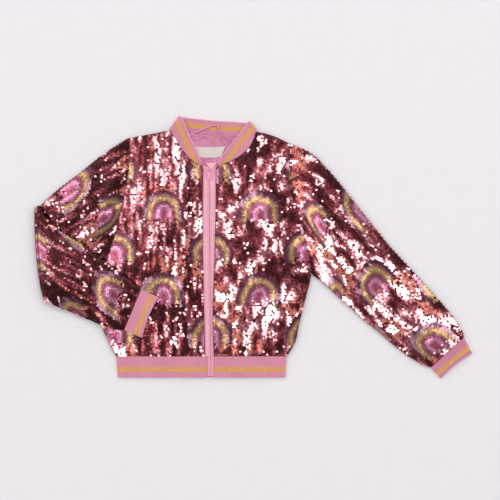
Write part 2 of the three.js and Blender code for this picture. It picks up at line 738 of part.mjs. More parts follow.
function liningUnder(place) {
  return SIDE_UNDER + foldHeight(LINING_FOLDS, place);
}

function liningBack() {
  const { topY, bottomY, topHalf, bottomHalf, centre } = LINING_PLAN;
  const plan = (u, v) => {
    const half = lerp(bottomHalf, topHalf, v);
    return point(centre + (2 * u - 1) * half, lerp(bottomY, topY, v));
  };
  return sheet(14, 8, plan, (u, v, place) => liningUnder(place), LINING);
}

// The bare woven label is sewn to the lining.
const LABEL_PLAN = { x: -2.3, y: 194.9, topWidth: 52, bottomWidth: 38, height: 17.6 };

function neckLabel() {
  const { x, y, topWidth, bottomWidth, height } = LABEL_PLAN;
  const plan = (u, v) => {
    const width = lerp(bottomWidth, topWidth, v);
    return point(x + (u - 0.5) * width, y + (v - 0.5) * height);
  };
  const under = (u, v, place) => liningUnder(place) + LINING + LABEL_GAP;
  return sheet(8, 3, plan, under, LABEL);
}

function hangLoop() {
  const path = curve(LOOP_PATH);
  const outer = [];
  const inner = [];
  const steps = 18;
  for (let k = 0; k <= steps; k += 1) {
    const run = path.getTangentAt(k / steps);
    const aside = point(-run.y, run.x).multiplyScalar(LOOP_WIDTH / 2);
    const middle = path.getPointAt(k / steps);
    const pair = [middle.clone().add(aside), middle.clone().sub(aside)];
    const bottom = CLOTH + GAP;
    outer.push(pair.map((p) => p.clone().setZ(bottom + LOOP)));
    inner.push(pair.map((p) => p.clone().setZ(bottom)));
  }
  return wall(outer, inner);
}

const zipMiddle = (y) => lerp(
  ZIP_BOTTOM.x, ZIP_TOP.x, (y - ZIP_BOTTOM.y) / (ZIP_TOP.y - ZIP_BOTTOM.y),
);

// One side of the zip: a flat tape with half of the chain along its inner edge.
function zipTape(panelEdge, side, bandEdge) {
  const levels = [];
  const rows = ROWS_PER_LEVEL * ZIP_TOP_ROW;
  for (let k = 0; k <= rows; k += 1) {
    const place = panelEdge.getPoint(k / BODY_ROWS);
    levels.unshift({ edge: place.x - side * GAP, y: place.y });
  }
  levels.push({ edge: bandEdge, y: HEM_TOP + GAP / 2 }, { edge: bandEdge, y: ZIP_BOTTOM.y });
  const top = ZIP_UNDER + TAPE;
  const profile = [
    { fromEdge: 0, z: top },
    { fromMiddle: BEAD_HALF, z: top },
    { fromMiddle: BEAD_HALF - 0.3, z: top + BEAD_RAISE },
    { fromMiddle: GAP / 2, z: top + BEAD_RAISE },
  ];
  const place = ({ fromEdge, fromMiddle, z }) => levels.map(({ edge, y }) => {
    const x = fromEdge === undefined ? zipMiddle(y) + side * fromMiddle : edge;
    return point(x, y, z);
  });
  const outer = profile.map(place);
  const inner = outer.map((line) => line.map((p) => p.clone().setZ(ZIP_UNDER)));
  return wall(outer, inner);
}

// Booleans.
const wasm = await Module();
wasm.setup();

function toSolid(geometry) {
  geometry.deleteAttribute('normal');
  geometry.deleteAttribute('uv');
  const merged = mergeVertices(geometry, 1e-4);
  return new wasm.Manifold(new wasm.Mesh({
    numProp: 3,
    vertProperties: new Float32Array(merged.attributes.position.array),
    triVerts: new Uint32Array(merged.index.array),
  }));
}

function toGeometry(solid) {
  const mesh = solid.getMesh();
  const geometry = new THREE.BufferGeometry();
  geometry.setAttribute('position', new THREE.BufferAttribute(mesh.vertProperties, mesh.numProp));
  geometry.setIndex(new THREE.BufferAttribute(mesh.triVerts, 1));
  return geometry;
}

// The slider: a shield-shaped top plate over the chain, with the arch that holds the pull.
function zipSlider() {
  const { halfTop, halfBottom, up, down, top, bottom } = SLIDER;
  const shield = new THREE.Shape();
  shield.moveTo(-halfBottom + 1, -down);
  shield.lineTo(halfBottom - 1, -down);
  shield.quadraticCurveTo(halfBottom, -down, halfBottom, -down + 1);
  shield.lineTo(halfTop, up - 2);
  shield.quadraticCurveTo(halfTop, up, halfTop - 2, up);
  shield.lineTo(-halfTop + 2, up);
  shield.quadraticCurveTo(-halfTop, up, -halfTop, up - 2);
  shield.lineTo(-halfBottom, -down + 1);
  shield.quadraticCurveTo(-halfBottom, -down, -halfBottom + 1, -down);
  const plate = new THREE.ExtrudeGeometry(shield, {
    depth: top - bottom, bevelEnabled: false, curveSegments: 4,
  });
  plate.translate(0, 0, bottom);
  const channel = new THREE.BoxGeometry(2 * SLIDER_CHANNEL.half, 4 * up, 2 * SLIDER_CHANNEL.top);

  const arch = new THREE.Shape([
    [-BAIL.outer, BAIL.root],
    [-BAIL.inner, BAIL.root],
    [-BAIL.inner, BAIL.under],
    [BAIL.inner, BAIL.under],
    [BAIL.inner, BAIL.root],
    [BAIL.outer, BAIL.root],
    [BAIL.outer, BAIL.top - BAIL.corner],
    [BAIL.outer - BAIL.corner, BAIL.top],
    [-BAIL.outer + BAIL.corner, BAIL.top],
    [-BAIL.outer, BAIL.top - BAIL.corner],
  ].map(([y, z]) => new THREE.Vector2(y, z)));
  const bail = new THREE.ExtrudeGeometry(arch, { depth: 2 * BAIL.half, bevelEnabled: false });
  bail.translate(0, 0, -BAIL.half);
  bail.applyMatrix4(new THREE.Matrix4().makeBasis(point(0, 1, 0), UP, point(1, 0, 0)));
  return toGeometry(toSolid(plate).subtract(toSolid(channel)).add(toSolid(bail)));
}

// The pull tab: its eye goes round the arch, and its cross bar turns below it.
function zipPull() {
  const { bar, eye, shoulder, eyeHalf, topHalf, endHalf, length, thickness } = PULL;
  const { cornerDown, cornerAcross } = PULL;
  const tab = new THREE.Shape();
  tab.moveTo(-topHalf, bar);
  tab.lineTo(-topHalf, -shoulder);
  tab.lineTo(-endHalf, -length + cornerDown);
  tab.quadraticCurveTo(-endHalf, -length, -endHalf + cornerAcross, -length);
  tab.lineTo(endHalf - cornerAcross, -length);
  tab.quadraticCurveTo(endHalf, -length, endHalf, -length + cornerDown);
  tab.lineTo(topHalf, -shoulder);
  tab.lineTo(topHalf, bar);
  const hole = new THREE.Path();
  hole.moveTo(-eyeHalf, -bar);
  hole.lineTo(eyeHalf, -bar);
  hole.lineTo(eyeHalf, -eye);
  hole.lineTo(-eyeHalf, -eye);
  tab.holes.push(hole);
  const plate = new THREE.ExtrudeGeometry(tab, {
    depth: thickness, bevelEnabled: false, curveSegments: 5,
  });
  plate.translate(0, 0, PULL_AXIS.z - thickness / 2);
  plate.deleteAttribute('normal');
  plate.deleteAttribute('uv');
  return mergeVertices(plate, 1e-4);
}

// The tape ends are folded into a small triangle over the top of the slider.
function zipGarage() {
  const { left, right, tip, tipHalf, under, thickness } = GARAGE;
  const plan = (u, v) => point(
    lerp(lerp(tip.x - tipHalf, left.x, v), lerp(tip.x + tipHalf, right.x, v), u),
    lerp(tip.y, left.y, v),
  );
  return sheet(3, 3, plan, () => under, thickness);
}

const garment = new THREE.Group();

function add(name, geometry, color, roughness, metalness = 0, place = point(0, 0)) {
  const material = new THREE.MeshStandardMaterial({ color, roughness, metalness });
  const mesh = new THREE.Mesh(geometry, material);
  mesh.name = name;
  mesh.position.copy(place);
  garment.add(mesh);
}

const pullPlace = point(zipMiddle(PULL_AXIS.y), PULL_AXIS.y);

add('back', back(), SEQUIN_ROSE, 0.35, 0.6);
add('front_left', front(leftEdges), SEQUIN_ROSE, 0.35, 0.6);
add('front_right', front(rightEdges), SEQUIN_ROSE, 0.35, 0.6);
add('sleeve_left', sleeveLeft(), SEQUIN_ROSE, 0.35, 0.6);
add('sleeve_right', sleeveRight(), SEQUIN_ROSE, 0.35, 0.6);
add('cuff_left', cuff(LEFT_SLEEVE.at(-1), LEFT_CUFF_END, 0), RIB_PINK, 0.85);
add('cuff_right', cuff(FOREARM.at(-1), RIGHT_CUFF_END, FOREARM_UNDER), RIB_PINK, 0.85);
add('collar', collar(), RIB_PINK, 0.85);
add('hem_band', hemBand(), RIB_PINK, 0.85);
add('lining_back', liningBack(), LINING_PINK, 0.5);
add('neck_label', neckLabel(), LABEL_CREAM, 0.7);
add('hang_loop', hangLoop(), LINING_PINK, 0.6);
add('zip_tape_left', zipTape(leftEdges.inner, 1, ZIP_IN_BAND.left), TAPE_PINK, 0.7);
add('zip_tape_right', zipTape(rightEdges.inner, -1, ZIP_IN_BAND.right), TAPE_PINK, 0.7);
add('zip_garage', zipGarage(), TAPE_PINK, 0.7);
add('zip_slider', zipSlider(), TAPE_PINK, 0.4, 0.1, pullPlace);
add('zip_pull', zipPull(), TAPE_PINK, 0.4, 0.1, pullPlace);

export default garment;
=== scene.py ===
import math

import bpy
import numpy as np
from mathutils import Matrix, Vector
from mathutils.bvhtree import BVHTree


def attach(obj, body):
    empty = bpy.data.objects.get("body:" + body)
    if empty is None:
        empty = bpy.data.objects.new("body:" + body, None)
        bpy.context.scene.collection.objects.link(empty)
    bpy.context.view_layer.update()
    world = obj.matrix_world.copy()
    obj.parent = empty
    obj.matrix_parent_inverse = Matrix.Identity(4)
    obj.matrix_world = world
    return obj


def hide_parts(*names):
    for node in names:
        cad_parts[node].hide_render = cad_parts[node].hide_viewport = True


# A child's zip-up bomber jacket in sequinned cloth, laid out on its back. Sizes are in millimetres
# until a mesh is made.

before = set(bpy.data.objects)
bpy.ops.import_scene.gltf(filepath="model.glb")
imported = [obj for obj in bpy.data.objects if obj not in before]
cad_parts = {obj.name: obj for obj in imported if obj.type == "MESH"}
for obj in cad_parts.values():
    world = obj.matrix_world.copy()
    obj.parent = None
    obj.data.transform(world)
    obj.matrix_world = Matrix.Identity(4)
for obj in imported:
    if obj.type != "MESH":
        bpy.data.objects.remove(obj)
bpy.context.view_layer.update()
MM = 0.001
UP = np.array([0, 0, 1.0])
HALF_TURN = [math.pi * k / 12 for k in range(1, 12)]

CLOTH = 2.4
GAP = 0.3
ARMHOLE_GAP = 0.7
FLAT_TUBE = 2 * CLOTH + GAP
HALF_TUBE = FLAT_TUBE / 2
SIDE_UNDER = CLOTH + GAP
ZIP_UNDER = 4.2
FRONT_CROWN = 2.0
SLEEVE_CROWN = 3.0
CUFF_CROWN = 1.2
NECK_GAP = 0.4
HEM_TOP = -142.2
HEM_BOTTOM = -176.5
HEM_TAPER = 0.984
FOREARM_UNDER = 9.4
ELBOW_UNDER = 6.6
ELBOW_DROOP = 0.8
LINING = 1.2
LABEL = 0.6
LABEL_GAP = 0.5
LOOP = 1.2
LOOP_WIDTH = 3.4
LOOP_RISE = 2.6
TAPE = 1.0
BEAD_HALF = 2.5
BEAD_RAISE = 0.8
RIB_PITCH = 2.0
RIB_RAISE = 0.3

SEQUIN_RADIUS = 1.95
SEQUIN_ACROSS = 3.2
SEQUIN_DOWN = 2.7
UNDER_RAISE = 0.75

# Edges of the fronts, a row for each level from the hem to the shoulder:
# inner x and y at the zip and neck, outer x and y at the side and armhole.
FRONT_LEFT = [
    (5.0, -141.9, 124.6, -141.9),
    (4.1, -118.8, 138.6, -118.8),
    (3.3, -89.1, 145.2, -89.1),
    (3.6, -49.5, 155.1, -49.5),
    (5.8, 13.2, 165.0, -5.0),
    (7.4, 69.3, 157.6, 44.6),
    (8.3, 118.8, 144.4, 95.7),
    (8.3, 148.5, 135.3, 135.3),
    (10.5, 171.5, 130.8, 165.0),
    (31.4, 178.5, 129.5, 181.5),
    (51.2, 190.5, 129.3, 193.0),
    (66.0, 206.0, 129.6, 201.3),
    (74.3, 227.7, 130.4, 207.9),
]
FRONT_RIGHT = [
    (-9.9, -141.9, -155.9, -141.9),
    (-10.2, -118.8, -168.3, -118.8),
    (-10.9, -89.1, -180.5, -89.1),
    (-11.9, -49.5, -183.2, -49.5),
    (-13.2, 13.2, -174.9, 1.7),
    (-13.9, 69.3, -161.7, 47.9),
    (-13.5, 118.8, -148.5, 97.4),
    (-13.2, 148.5, -140.3, 138.6),
    (-14.5, 171.0, -135.3, 168.3),
    (-26.0, 177.0, -134.0, 186.5),
    (-38.0, 187.0, -134.0, 198.0),
    (-52.8, 206.3, -134.5, 207.9),
    (-66.0, 229.4, -135.3, 217.0),
]
UNDERARM_ROW = 4
ZIP_TOP_ROW = 8
LEVELS = len(FRONT_LEFT) - 1
BACK_TOP = [
    (-135.3, 217.0), (-100.0, 224.0), (-66.0, 229.4), (-34.0, 224.5), (0.0, 221.5),
    (38.0, 223.0), (74.3, 227.7), (104.0, 220.5), (130.4, 207.9),
]

# Gathers above the hem band: x, height, half width, length.
GATHERS = [
    (-144, 1.3, 5.0, 24), (-126, 1.5, 5.5, 26), (-106, 1.3, 5.0, 30), (-85, 1.9, 5.5, 62),
    (-64, 1.6, 5.0, 46), (-44, 1.9, 6.0, 72), (-25, 1.2, 4.5, 38), (24, 1.3, 5.0, 40),
    (43, 1.7, 5.5, 58), (63, 1.4, 5.0, 36), (83, 1.8, 6.0, 60), (103, 1.3, 5.0, 32),
]

# Soft folds: from x and y, to x and y, height, half width.
FRONT_FOLDS = [
    (-96, 196, -84, 96, 1.4, 11),
    (-54, 168, -44, 78, 1.2, 10),
    (112, 188, 62, 118, 1.5, 10),
    (140, 20, 72, 62, 1.3, 11),
    (132, -58, 60, -20, 1.2, 11),
]
LEFT_SLEEVE_FOLDS = [
    (168, 148, 206, 18, 2.0, 12),
    (233, 63, 262, -33, 1.8, 11),
    (309, 3, 284, -79, 2.0, 11),
    (345, -49, 318, -115, 1.7, 10),
    (384, -80, 352, -135, 1.8, 9),
]
UPPER_ARM_FOLDS = [
    (-163, 181, -184, 70, 1.4, 11),
    (-222, 138, -236, 78, 1.2, 10),
]
FOREARM_FOLDS = [
    (-250, 50, -224, -52, 2.0, 11),
    (-206, 25, -199, -70, 1.7, 10),
    (-163, -2, -172, -80, 1.8, 9),
    (-134, -28, -154, -90, 1.5, 7),
]
LINING_FOLDS = [
    (-7, 223, 9, 206, 5.6, 3.2),
    (-27, 214, -6, 223, 3.8, 2.1),
    (14, 225, 17, 211, 3.2, 2.8),
    (19, 223, 40, 209, 3.6, 3.0),
    (-36, 214, -22, 203, 2.2, 4.0),
]
LINING_LEAN = 0.42

# Sleeve sections: upper x and y, lower x and y, bow.
LEFT_SLEEVE = [
    (130.4, 207.9, 165.0, -5.0, 0),
    (166.7, 190.0, 174.5, -12.5, 0),
    (198.0, 158.4, 185.0, -20.5, 0),
    (245.9, 99.0, 206.3, -41.3, 0),
    (293.7, 39.6, 229.4, -61.1, 0),
    (330.0, 0.0, 250.8, -80.9, 0),
    (361.4, -34.7, 275.6, -100.7, 0),
    (387.8, -64.4, 300.3, -122.1, 0),
    (404.3, -85.8, 325.0, -141.1, 0),
    (413.3, -100.7, 346.5, -154.3, 0),
    (416.3, -111.0, 362.5, -160.5, 0),
]
LEFT_CUFF_END = (430.5, -137.0, 378.8, -178.5)
UPPER_ARM = [
    (-135.8, 217.0, -174.6, 1.7, 0),
    (-176.6, 190.6, -203.0, -14.9, 0),
    (-216.2, 159.2, -229.4, -29.7, 0.5),
    (-255.8, 128.7, -254.1, -42.9, 2.0),
]
ELBOW = (-282.5, 104.5, -268.5, -52.5, 4.5)
# The forearm's sections also have the underside's height at the lower edge, and where it droops.
FOREARM = [
    (*ELBOW, ELBOW_UNDER, ELBOW_DROOP),
    (-262.4, 76.0, -252.5, -60.0, 3.0, 5.6, 0.8),
    (-232.7, 54.5, -226.0, -71.0, 0, 3.4, 0.6),
    (-199.7, 33.8, -199.7, -82.0, 0, 2.0, 0.42),
    (-170.0, 9.9, -176.6, -91.0, 0, 7.0, 0.5),
    (-140.3, -11.6, -158.4, -96.5, 0, 9.0, 0.5),
    (-114.7, -32.2, -142.4, -98.5, 0, 9.4, 0.5),
]
RIGHT_CUFF_END = (-85.8, -44.2, -113.2, -111.6)

COLLAR_RIGHT_EDGE = [
    (-14.5, 176.8), (-19.8, 188.1), (-26.4, 203.0), (-34.6, 221.1), (-42.0, 238.4), (-47.8, 251.6),
]
COLLAR_LEFT_EDGE = [
    (10.6, 176.9), (16.0, 185.6), (30.5, 204.6), (45.4, 223.6), (53.0, 233.5), (59.6, 242.4),
]
COLLAR_BACK_EDGE = [
    (-47.8, 251.6), (-23.1, 249.2), (6.6, 246.2), (36.3, 244.4), (59.6, 242.4),
]
COLLAR_SEAM_Z = ZIP_UNDER + CLOTH / 2
COLLAR_EDGE_Z = 8.0
COLLAR_END_Z = 6.2

LOOP_PATH = [
    (-34.0, 223.6), (-22.0, 228.4), (-7.0, 234.8), (4.0, 238.8), (10.4, 238.6), (12.8, 233.0),
    (13.6, 225.4),
]
ZIP_TOP = (-3.3, 170.0)
ZIP_BOTTOM = (0.0, -175.0)
ZIP_IN_BAND = {"right": -5.3, "left": 4.8}
GARAGE = {"left": (-8.3, 176.4), "right": (9.6, 176.4), "tip": (0.9, 165.4), "half": 0.4,
          "under": 7.8, "thick": 0.9}
# Where across the zip tape's pattern the garage lies, in metres from the zip's middle.
BESIDE_GROOVE = 0.0016


def lerp(a, b, t):
    return a + (b - a) * t


def smooth(x):
    x = np.clip(x, 0, 1)
    return x * x * (3 - 2 * x)


def unit(v):
    return v / np.maximum(np.linalg.norm(v, axis=-1, keepdims=True), 1e-9)


def left_of(run):
    """The direction in the plan to the left of a run, as long as the run."""
    return np.array([-run[1], run[0], 0])


def ends_of(section):
    """The upper and the lower end of a section, on the ground."""
    return np.array([*section[:2], 0.0]), np.array([*section[2:4], 0.0])


def lengths_along(points):
    """The distance of each point from the first, along the line through them all."""
    return np.concatenate([[0], np.cumsum(np.linalg.norm(np.diff(points, axis=0), axis=1))])


def place_at(goal, lengths, points):
    """The places at some distances along a line of points."""
    return np.stack([np.interp(goal, lengths, points[:, k]) for k in range(3)], axis=-1)


class Curve:
    """A centripetal Catmull-Rom curve through points, with t from 0 to 1 in equal shares."""

    def __init__(self, points):
        p = np.array([(*q, 0.0)[:3] for q in points], float)
        ends = (2 * p[0] - p[1], 2 * p[-1] - p[-2])
        self.p = np.vstack([ends[0], p, ends[1]])
        self.count = len(p) - 1

    def at(self, t):
        place = np.clip(t, 0, 1) * self.count
        k = int(min(math.floor(place), self.count - 1))
        w = place - k
        a, b, c, d = self.p[k:k + 4]
        gaps = [max(np.linalg.norm(q), 1e-8) ** 0.5 for q in (b - a, c - b, d - c)]
        first = (b - a) / gaps[0] - (c - a) / (gaps[0] + gaps[1]) + (c - b) / gaps[1]
        last = (c - b) / gaps[1] - (d - b) / (gaps[1] + gaps[2]) + (d - c) / gaps[2]
        first, last = first * gaps[1], last * gaps[1]
        return (b + first * w + (3 * (c - b) - 2 * first - last) * w ** 2
                + (2 * (b - c) + first + last) * w ** 3)


class Noise:
    """Smooth noise from -1 to 1 over two coordinates."""

    def __init__(self, seed, size=64):
        self.grid = np.random.default_rng(seed).uniform(-1, 1, (size, size))
        self.size = size

    def over(self, x, y, size):
        return self.at(x / size[0], y / size[1])

    def at(self, x, y):
        x, y = np.asarray(x, float), np.asarray(y, float)
        i, j = np.floor(x).astype(int), np.floor(y).astype(int)
        u, v = smooth(x - i), smooth(y - j)
        g = lambda a, b: self.grid[a % self.size, b % self.size]
        low = lerp(g(i, j), g(i + 1, j), u)
        high = lerp(g(i, j + 1), g(i + 1, j + 1), u)
        return lerp(low, high, v)


def heading(at, share, step):
    """The unit direction of a path at a share of its length."""
    return unit(at(np.minimum(1, share + step)) - at(np.maximum(0, share - step)))


def by_length(path, t0, t1, samples=80):
    """From a share of the length to a point, along the part of a curve from t0 to t1."""
    points = np.array([path.at(lerp(t0, t1, k / samples)) for k in range(samples + 1)])
    lengths = lengths_along(points)
    return lambda share: place_at(np.clip(share, 0, 1) * lengths[-1], lengths, points)


ripple_noise = Noise(11)


def ripple(x, y, height=0.35):
    """Small unevenness of the cloth."""
    return height * (ripple_noise.at(x / 21, y / 34) + 0.5 * ripple_noise.at(x / 9 + 7, y / 17))


def fold_height(folds, x, y, lean=1.0):
    """Ridges with round tops; under a lean below 1 their left sides are that much narrower."""
    height = np.zeros_like(x, float)
    for x0, y0, x1, y1, high, half in folds:
        dx, dy = x1 - x0, y1 - y0
        along = ((x - x0) * dx + (y - y0) * dy) / (dx * dx + dy * dy)
        held = np.clip(along, 0, 1)
        on_left = dx * (y - y0) - dy * (x - x0) > 0
        away = np.hypot(x - x0 - held * dx, y - y0 - held * dy) / half
        away = away / np.where(on_left, lean, 1.0)
        height += high * np.sin(math.pi * np.clip(along * 0.8 + 0.1, 0, 1)) * np.exp(-away * away)
    return height


def gather_height(x, y):
    """Upright gathers that rise from the hem band and die out."""
    above = y - HEM_TOP - GAP
    height = np.zeros_like(x, float)
    for x0, high, half, length in GATHERS:
        away = (x - x0) / half
        height += high * smooth(above / 8) * (1 - smooth(above / length)) * np.exp(-away * away)
    return height


# Materials.
def srgb(r, g, b):
    def one(c):
        c = c / 255
        return c / 12.92 if c <= 0.04045 else ((c + 0.055) / 1.055) ** 2.4
    return (one(r), one(g), one(b), 1.0)


class Nodes:
    """A material and short ways to add its nodes."""

    def __init__(self, name):
        self.material = bpy.data.materials.new(name)
        self.material.use_nodes = True
        self.tree = self.material.node_tree
        self.shader = self.tree.nodes["Principled BSDF"]

    def node(self, kind, **values):
        made = self.tree.nodes.new("ShaderNode" + kind)
        for key, value in values.items():
            if hasattr(made, key) and key not in made.inputs:
                setattr(made, key, value)
            else:
                made.inputs[key].default_value = value
        return made

    def link(self, a, b):
        self.tree.links.new(a, b)

    def put(self, socket, value):
        if isinstance(value, bpy.types.NodeSocket):
            self.link(value, socket)
        else:
            socket.default_value = value

    def math(self, operation, a, b=None, c=None):
        made = self.node("Math", operation=operation)
        for k, value in enumerate((a, b, c)):
            if value is not None:
                self.put(made.inputs[k], value)
        return made.outputs[0]

    def times(self, a, b):
        return self.math("MULTIPLY", a, b)

    def plus(self, a, b):
        return self.math("ADD", a, b)

    def mix(self, share, a, b):
        made = self.node("Mix", data_type="RGBA")
        self.put(made.inputs[0], share)
        self.put(made.inputs[6], a)
        self.put(made.inputs[7], b)
        return made.outputs[2]

    def attribute(self, name, output="Fac"):
        return self.node("Attribute", attribute_name=name).outputs[output]

    def place(self):
        return self.node("TexCoord").outputs["Object"]

    def noise(self, scale, detail):
        made = self.node("TexNoise", Scale=scale, Detail=detail)
        self.link(self.place(), made.inputs["Vector"])
        return made.outputs["Fac"]

    def mottle(self, value, a, b, low=0.3, high=0.7):
        """From one colour to the other where a noise goes from low to high."""
        return self.mix(self.ramp(value, (low, 0.0), (high, 1.0)), a, b)

    def ramp(self, value, *stops):
        made = self.node("ValToRGB")
        elements = made.color_ramp.elements
        while len(elements) < len(stops):
            elements.new(0.5)
        for element, (position, colour) in zip(elements, stops):
            element.position = position
            element.color = colour if hasattr(colour, "__len__") else (colour, colour, colour, 1)
        self.put(made.inputs[0], value)
        return made.outputs["Color"]

    def bump(self, height, strength, distance=0.0004, below=None):
        made = self.node("Bump", Strength=strength, Distance=distance)
        self.link(height, made.inputs["Height"])
        if below is not None:
            self.link(below, made.inputs["Normal"])
        return made.outputs["Normal"]

    def set(self, **values):
        for key, value in values.items():
            self.put(self.shader.inputs[key.replace("_", " ")], value)
        return self.material


def wave(n, value, period):
    """From 0 to 1 and back once in a period."""
    turned = n.math("SINE", n.times(value, 2 * math.pi / period))
    return n.math("MULTIPLY_ADD", turned, 0.5, 0.5)


def between(n, value, low, high, soft):
    """1 where value lies between low and high, with soft edges."""
    def step(a, b):
        made = n.node("MapRange", interpolation_type="SMOOTHSTEP")
        n.put(made.inputs["Value"], value)
        made.inputs["From Min"].default_value = a
        made.inputs["From Max"].default_value = b
        return made.outputs["Result"]
    rise = step(low - soft, low + soft)
    fall = step(high - soft, high + soft)
    return n.math("SUBTRACT", rise, fall)


def sequin_material():
    n = Nodes("sequin_film")
    # The tint holds the print's colours and the ground's, with painted shade and painted highlights
    # in the ground's.
    tint = n.attribute("tint", "Color")
    fine = n.noise(900, 1.0)
    colour = n.mix(n.times(fine, 0.06), tint, srgb(250, 190, 186))
    rough = n.math("MULTIPLY_ADD", fine, 0.12, 0.15)
    return n.set(Base_Color=colour, Metallic=1.0, Roughness=rough)


def backing_material():
    n = Nodes("sequin_backing")
    speck = n.noise(700, 3.0)
    colour = n.ramp(speck, (0.3, srgb(70, 24, 38)), (0.7, srgb(122, 52, 66)))
    normal = n.bump(speck, 0.5, 0.0003)
    return n.set(Base_Color=colour, Roughness=0.75, Normal=normal)


# Distances in metres: rows of the knit, how soft a stripe's edge is, the painted highlight along a
# rolled edge.
COURSE = 0.0011
STRIPE_SOFT = 0.00025
RIM_HIGHLIGHT_LINE = (-0.001, 0.0011, 0.0003)
# And on the zip tape: its threads, its ribs, the painted shade in the groove beside the bead, and
# the seam.
TAPE_THREAD = 0.0009
TAPE_RIB = 0.0012
TAPE_GROOVE_SHADE = (-0.001, 0.0009, 0.0004)
TAPE_SEAM = (0.0026, 0.0032, 0.0002)


def rib_material(name, lines, pink, deep, rim_highlight=0.0):
    """Rib knit with gold lines, given by their places across the band in metres.

    Rim highlight is the strength of a painted highlight: a paler line along the free edge of a
    folded band.
    """
    n = Nodes(name)
    along = n.attribute("along")
    across = n.attribute("across")
    wale = wave(n, along, RIB_PITCH * MM)
    course = wave(n, n.plus(across, n.times(wale, 0.0004)), COURSE)
    fuzz = n.noise(420, 4.0)
    patch = n.noise(28, 2.0)
    ground = n.mottle(patch, pink, deep)
    # Painted shade: darker between the wales, in the rib's grooves.
    ground = n.mix(n.math("MULTIPLY_ADD", wale, -0.16, 0.16), ground, srgb(150, 70, 105))
    gold = n.mottle(fuzz, srgb(206, 144, 26), srgb(224, 168, 56), 0.35, 0.65)
    share = 0.0
    for low, high, strength in lines:
        one = n.times(between(n, across, low, high, STRIPE_SOFT), strength)
        share = n.math("MAXIMUM", share, one)
    colour = n.mix(share, ground, gold)
    # A painted highlight: a paler line along the band's free edge, where the fold catches the light.
    if rim_highlight:
        rim = n.times(between(n, across, *RIM_HIGHLIGHT_LINE), rim_highlight)
        colour = n.mix(rim, colour, srgb(244, 184, 204))
    colour = n.mix(n.times(fuzz, 0.10), colour, srgb(255, 215, 228))
    knit = n.plus(n.times(wale, 0.55), n.times(course, 0.3))
    height = n.plus(knit, n.times(fuzz, 0.35))
    normal = n.bump(height, 0.45, 0.0004)
    return n.set(Base_Color=colour, Roughness=0.82, Sheen_Weight=0.35, Sheen_Roughness=0.5,
                 Sheen_Tint=srgb(255, 205, 225), Normal=normal)


def satin_material():
    n = Nodes("lining_satin")
    weave = n.node("TexWave", wave_type="BANDS", bands_direction="DIAGONAL", Scale=520.0,
                   Distortion=0.6)
    n.link(n.place(), weave.inputs["Vector"])
    patch = n.noise(45, 3.0)
    # Paler where the noise raises the bumped folds and darker in their hollows: painted light and
    # shade.
    colour = n.ramp(patch, (0.3, srgb(198, 120, 154)), (0.7, srgb(218, 142, 172)))
    fold = n.bump(patch, 0.35, 0.004)
    normal = n.bump(weave.outputs["Fac"], 0.12, 0.0001, fold)
    return n.set(Base_Color=colour, Roughness=0.42, Sheen_Weight=0.25, Normal=normal,
                 Specular_IOR_Level=0.4)


def tape_material():
    n = Nodes("zip_tape_weave")
    across = n.attribute("across")
    along = n.attribute("along")
    side = wave(n, across, TAPE_THREAD)
    rib = wave(n, n.plus(along, n.times(across, 0.9)), TAPE_RIB)
    fuzz = n.noise(500, 3.0)
    patch = n.noise(35, 2.0)
    colour = n.mottle(patch, srgb(238, 168, 187), srgb(246, 181, 197))
    # Painted shade: darker in the groove beside the bead.
    groove_shade = between(n, across, *TAPE_GROOVE_SHADE)
    colour = n.mix(n.times(groove_shade, 0.55), colour, srgb(205, 110, 145))
    seam = between(n, across, *TAPE_SEAM)
    colour = n.mix(n.times(seam, 0.35), colour, srgb(205, 115, 150))
    height = n.plus(n.times(side, 0.4), n.times(rib, 0.4))
    height = n.plus(height, n.times(fuzz, 0.3))
    return n.set(Base_Color=colour, Roughness=0.62, Sheen_Weight=0.2,
                 Normal=n.bump(height, 0.35, 0.0003))


def plain_weave(name, light, dark, period):
    """A plain weave of threads a period apart, in metres."""
    n = Nodes(name)
    split = n.node("SeparateXYZ")
    n.link(n.place(), split.inputs[0])
    warp = wave(n, split.outputs["X"], period)
    weft = wave(n, split.outputs["Y"], period)
    cloth = n.math("MAXIMUM", warp, weft)
    fuzz = n.noise(380, 3.0)
    colour = n.mottle(fuzz, dark, light)
    height = n.plus(n.times(cloth, 0.5), n.times(fuzz, 0.4))
    return n.set(Base_Color=colour, Roughness=0.7, Sheen_Weight=0.15,
                 Normal=n.bump(height, 0.35, 0.0003))


def enamel_material():
    n = Nodes("zip_enamel")
    speck = n.noise(260, 3.0)
    colour = n.ramp(speck, (0.35, srgb(232, 150, 180)), (0.7, srgb(244, 172, 196)))
    rough = n.math("MULTIPLY_ADD", speck, 0.2, 0.28)
    return n.set(Base_Color=colour, Roughness=rough, Metallic=0.0, Coat_Weight=0.4,
                 Coat_Roughness=0.2, Normal=n.bump(speck, 0.08, 0.0002))


def thread_material(name, light, dark):
    n = Nodes(name)
    twist = n.node("TexWave", wave_type="BANDS", bands_direction="DIAGONAL", Scale=900.0)
    n.link(n.place(), twist.inputs["Vector"])
    colour = n.mix(twist.outputs["Fac"], light, dark)
    return n.set(Base_Color=colour, Roughness=0.6, Sheen_Weight=0.3,
                 Normal=n.bump(twist.outputs["Fac"], 0.4, 0.0002))


RIB_PINK, RIB_DEEP = srgb(219, 140, 165), srgb(210, 129, 154)
film = sequin_material()
backing = backing_material()
satin = satin_material()
tape_weave = tape_material()
label_weave = plain_weave("label_weave", srgb(228, 215, 210), srgb(212, 197, 192), 0.0009)
loop_weave = plain_weave("loop_weave", srgb(226, 150, 184), srgb(206, 124, 162), 0.0012)
enamel = enamel_material()
pink_thread = thread_material("pink_thread", srgb(244, 176, 198), srgb(218, 132, 165))
cream_thread = thread_material("cream_thread", srgb(244, 238, 230), srgb(216, 202, 192))


# Meshes.
def add(name, data):
    made = bpy.data.objects.new(name, data)
    bpy.context.scene.collection.objects.link(made)
    return made


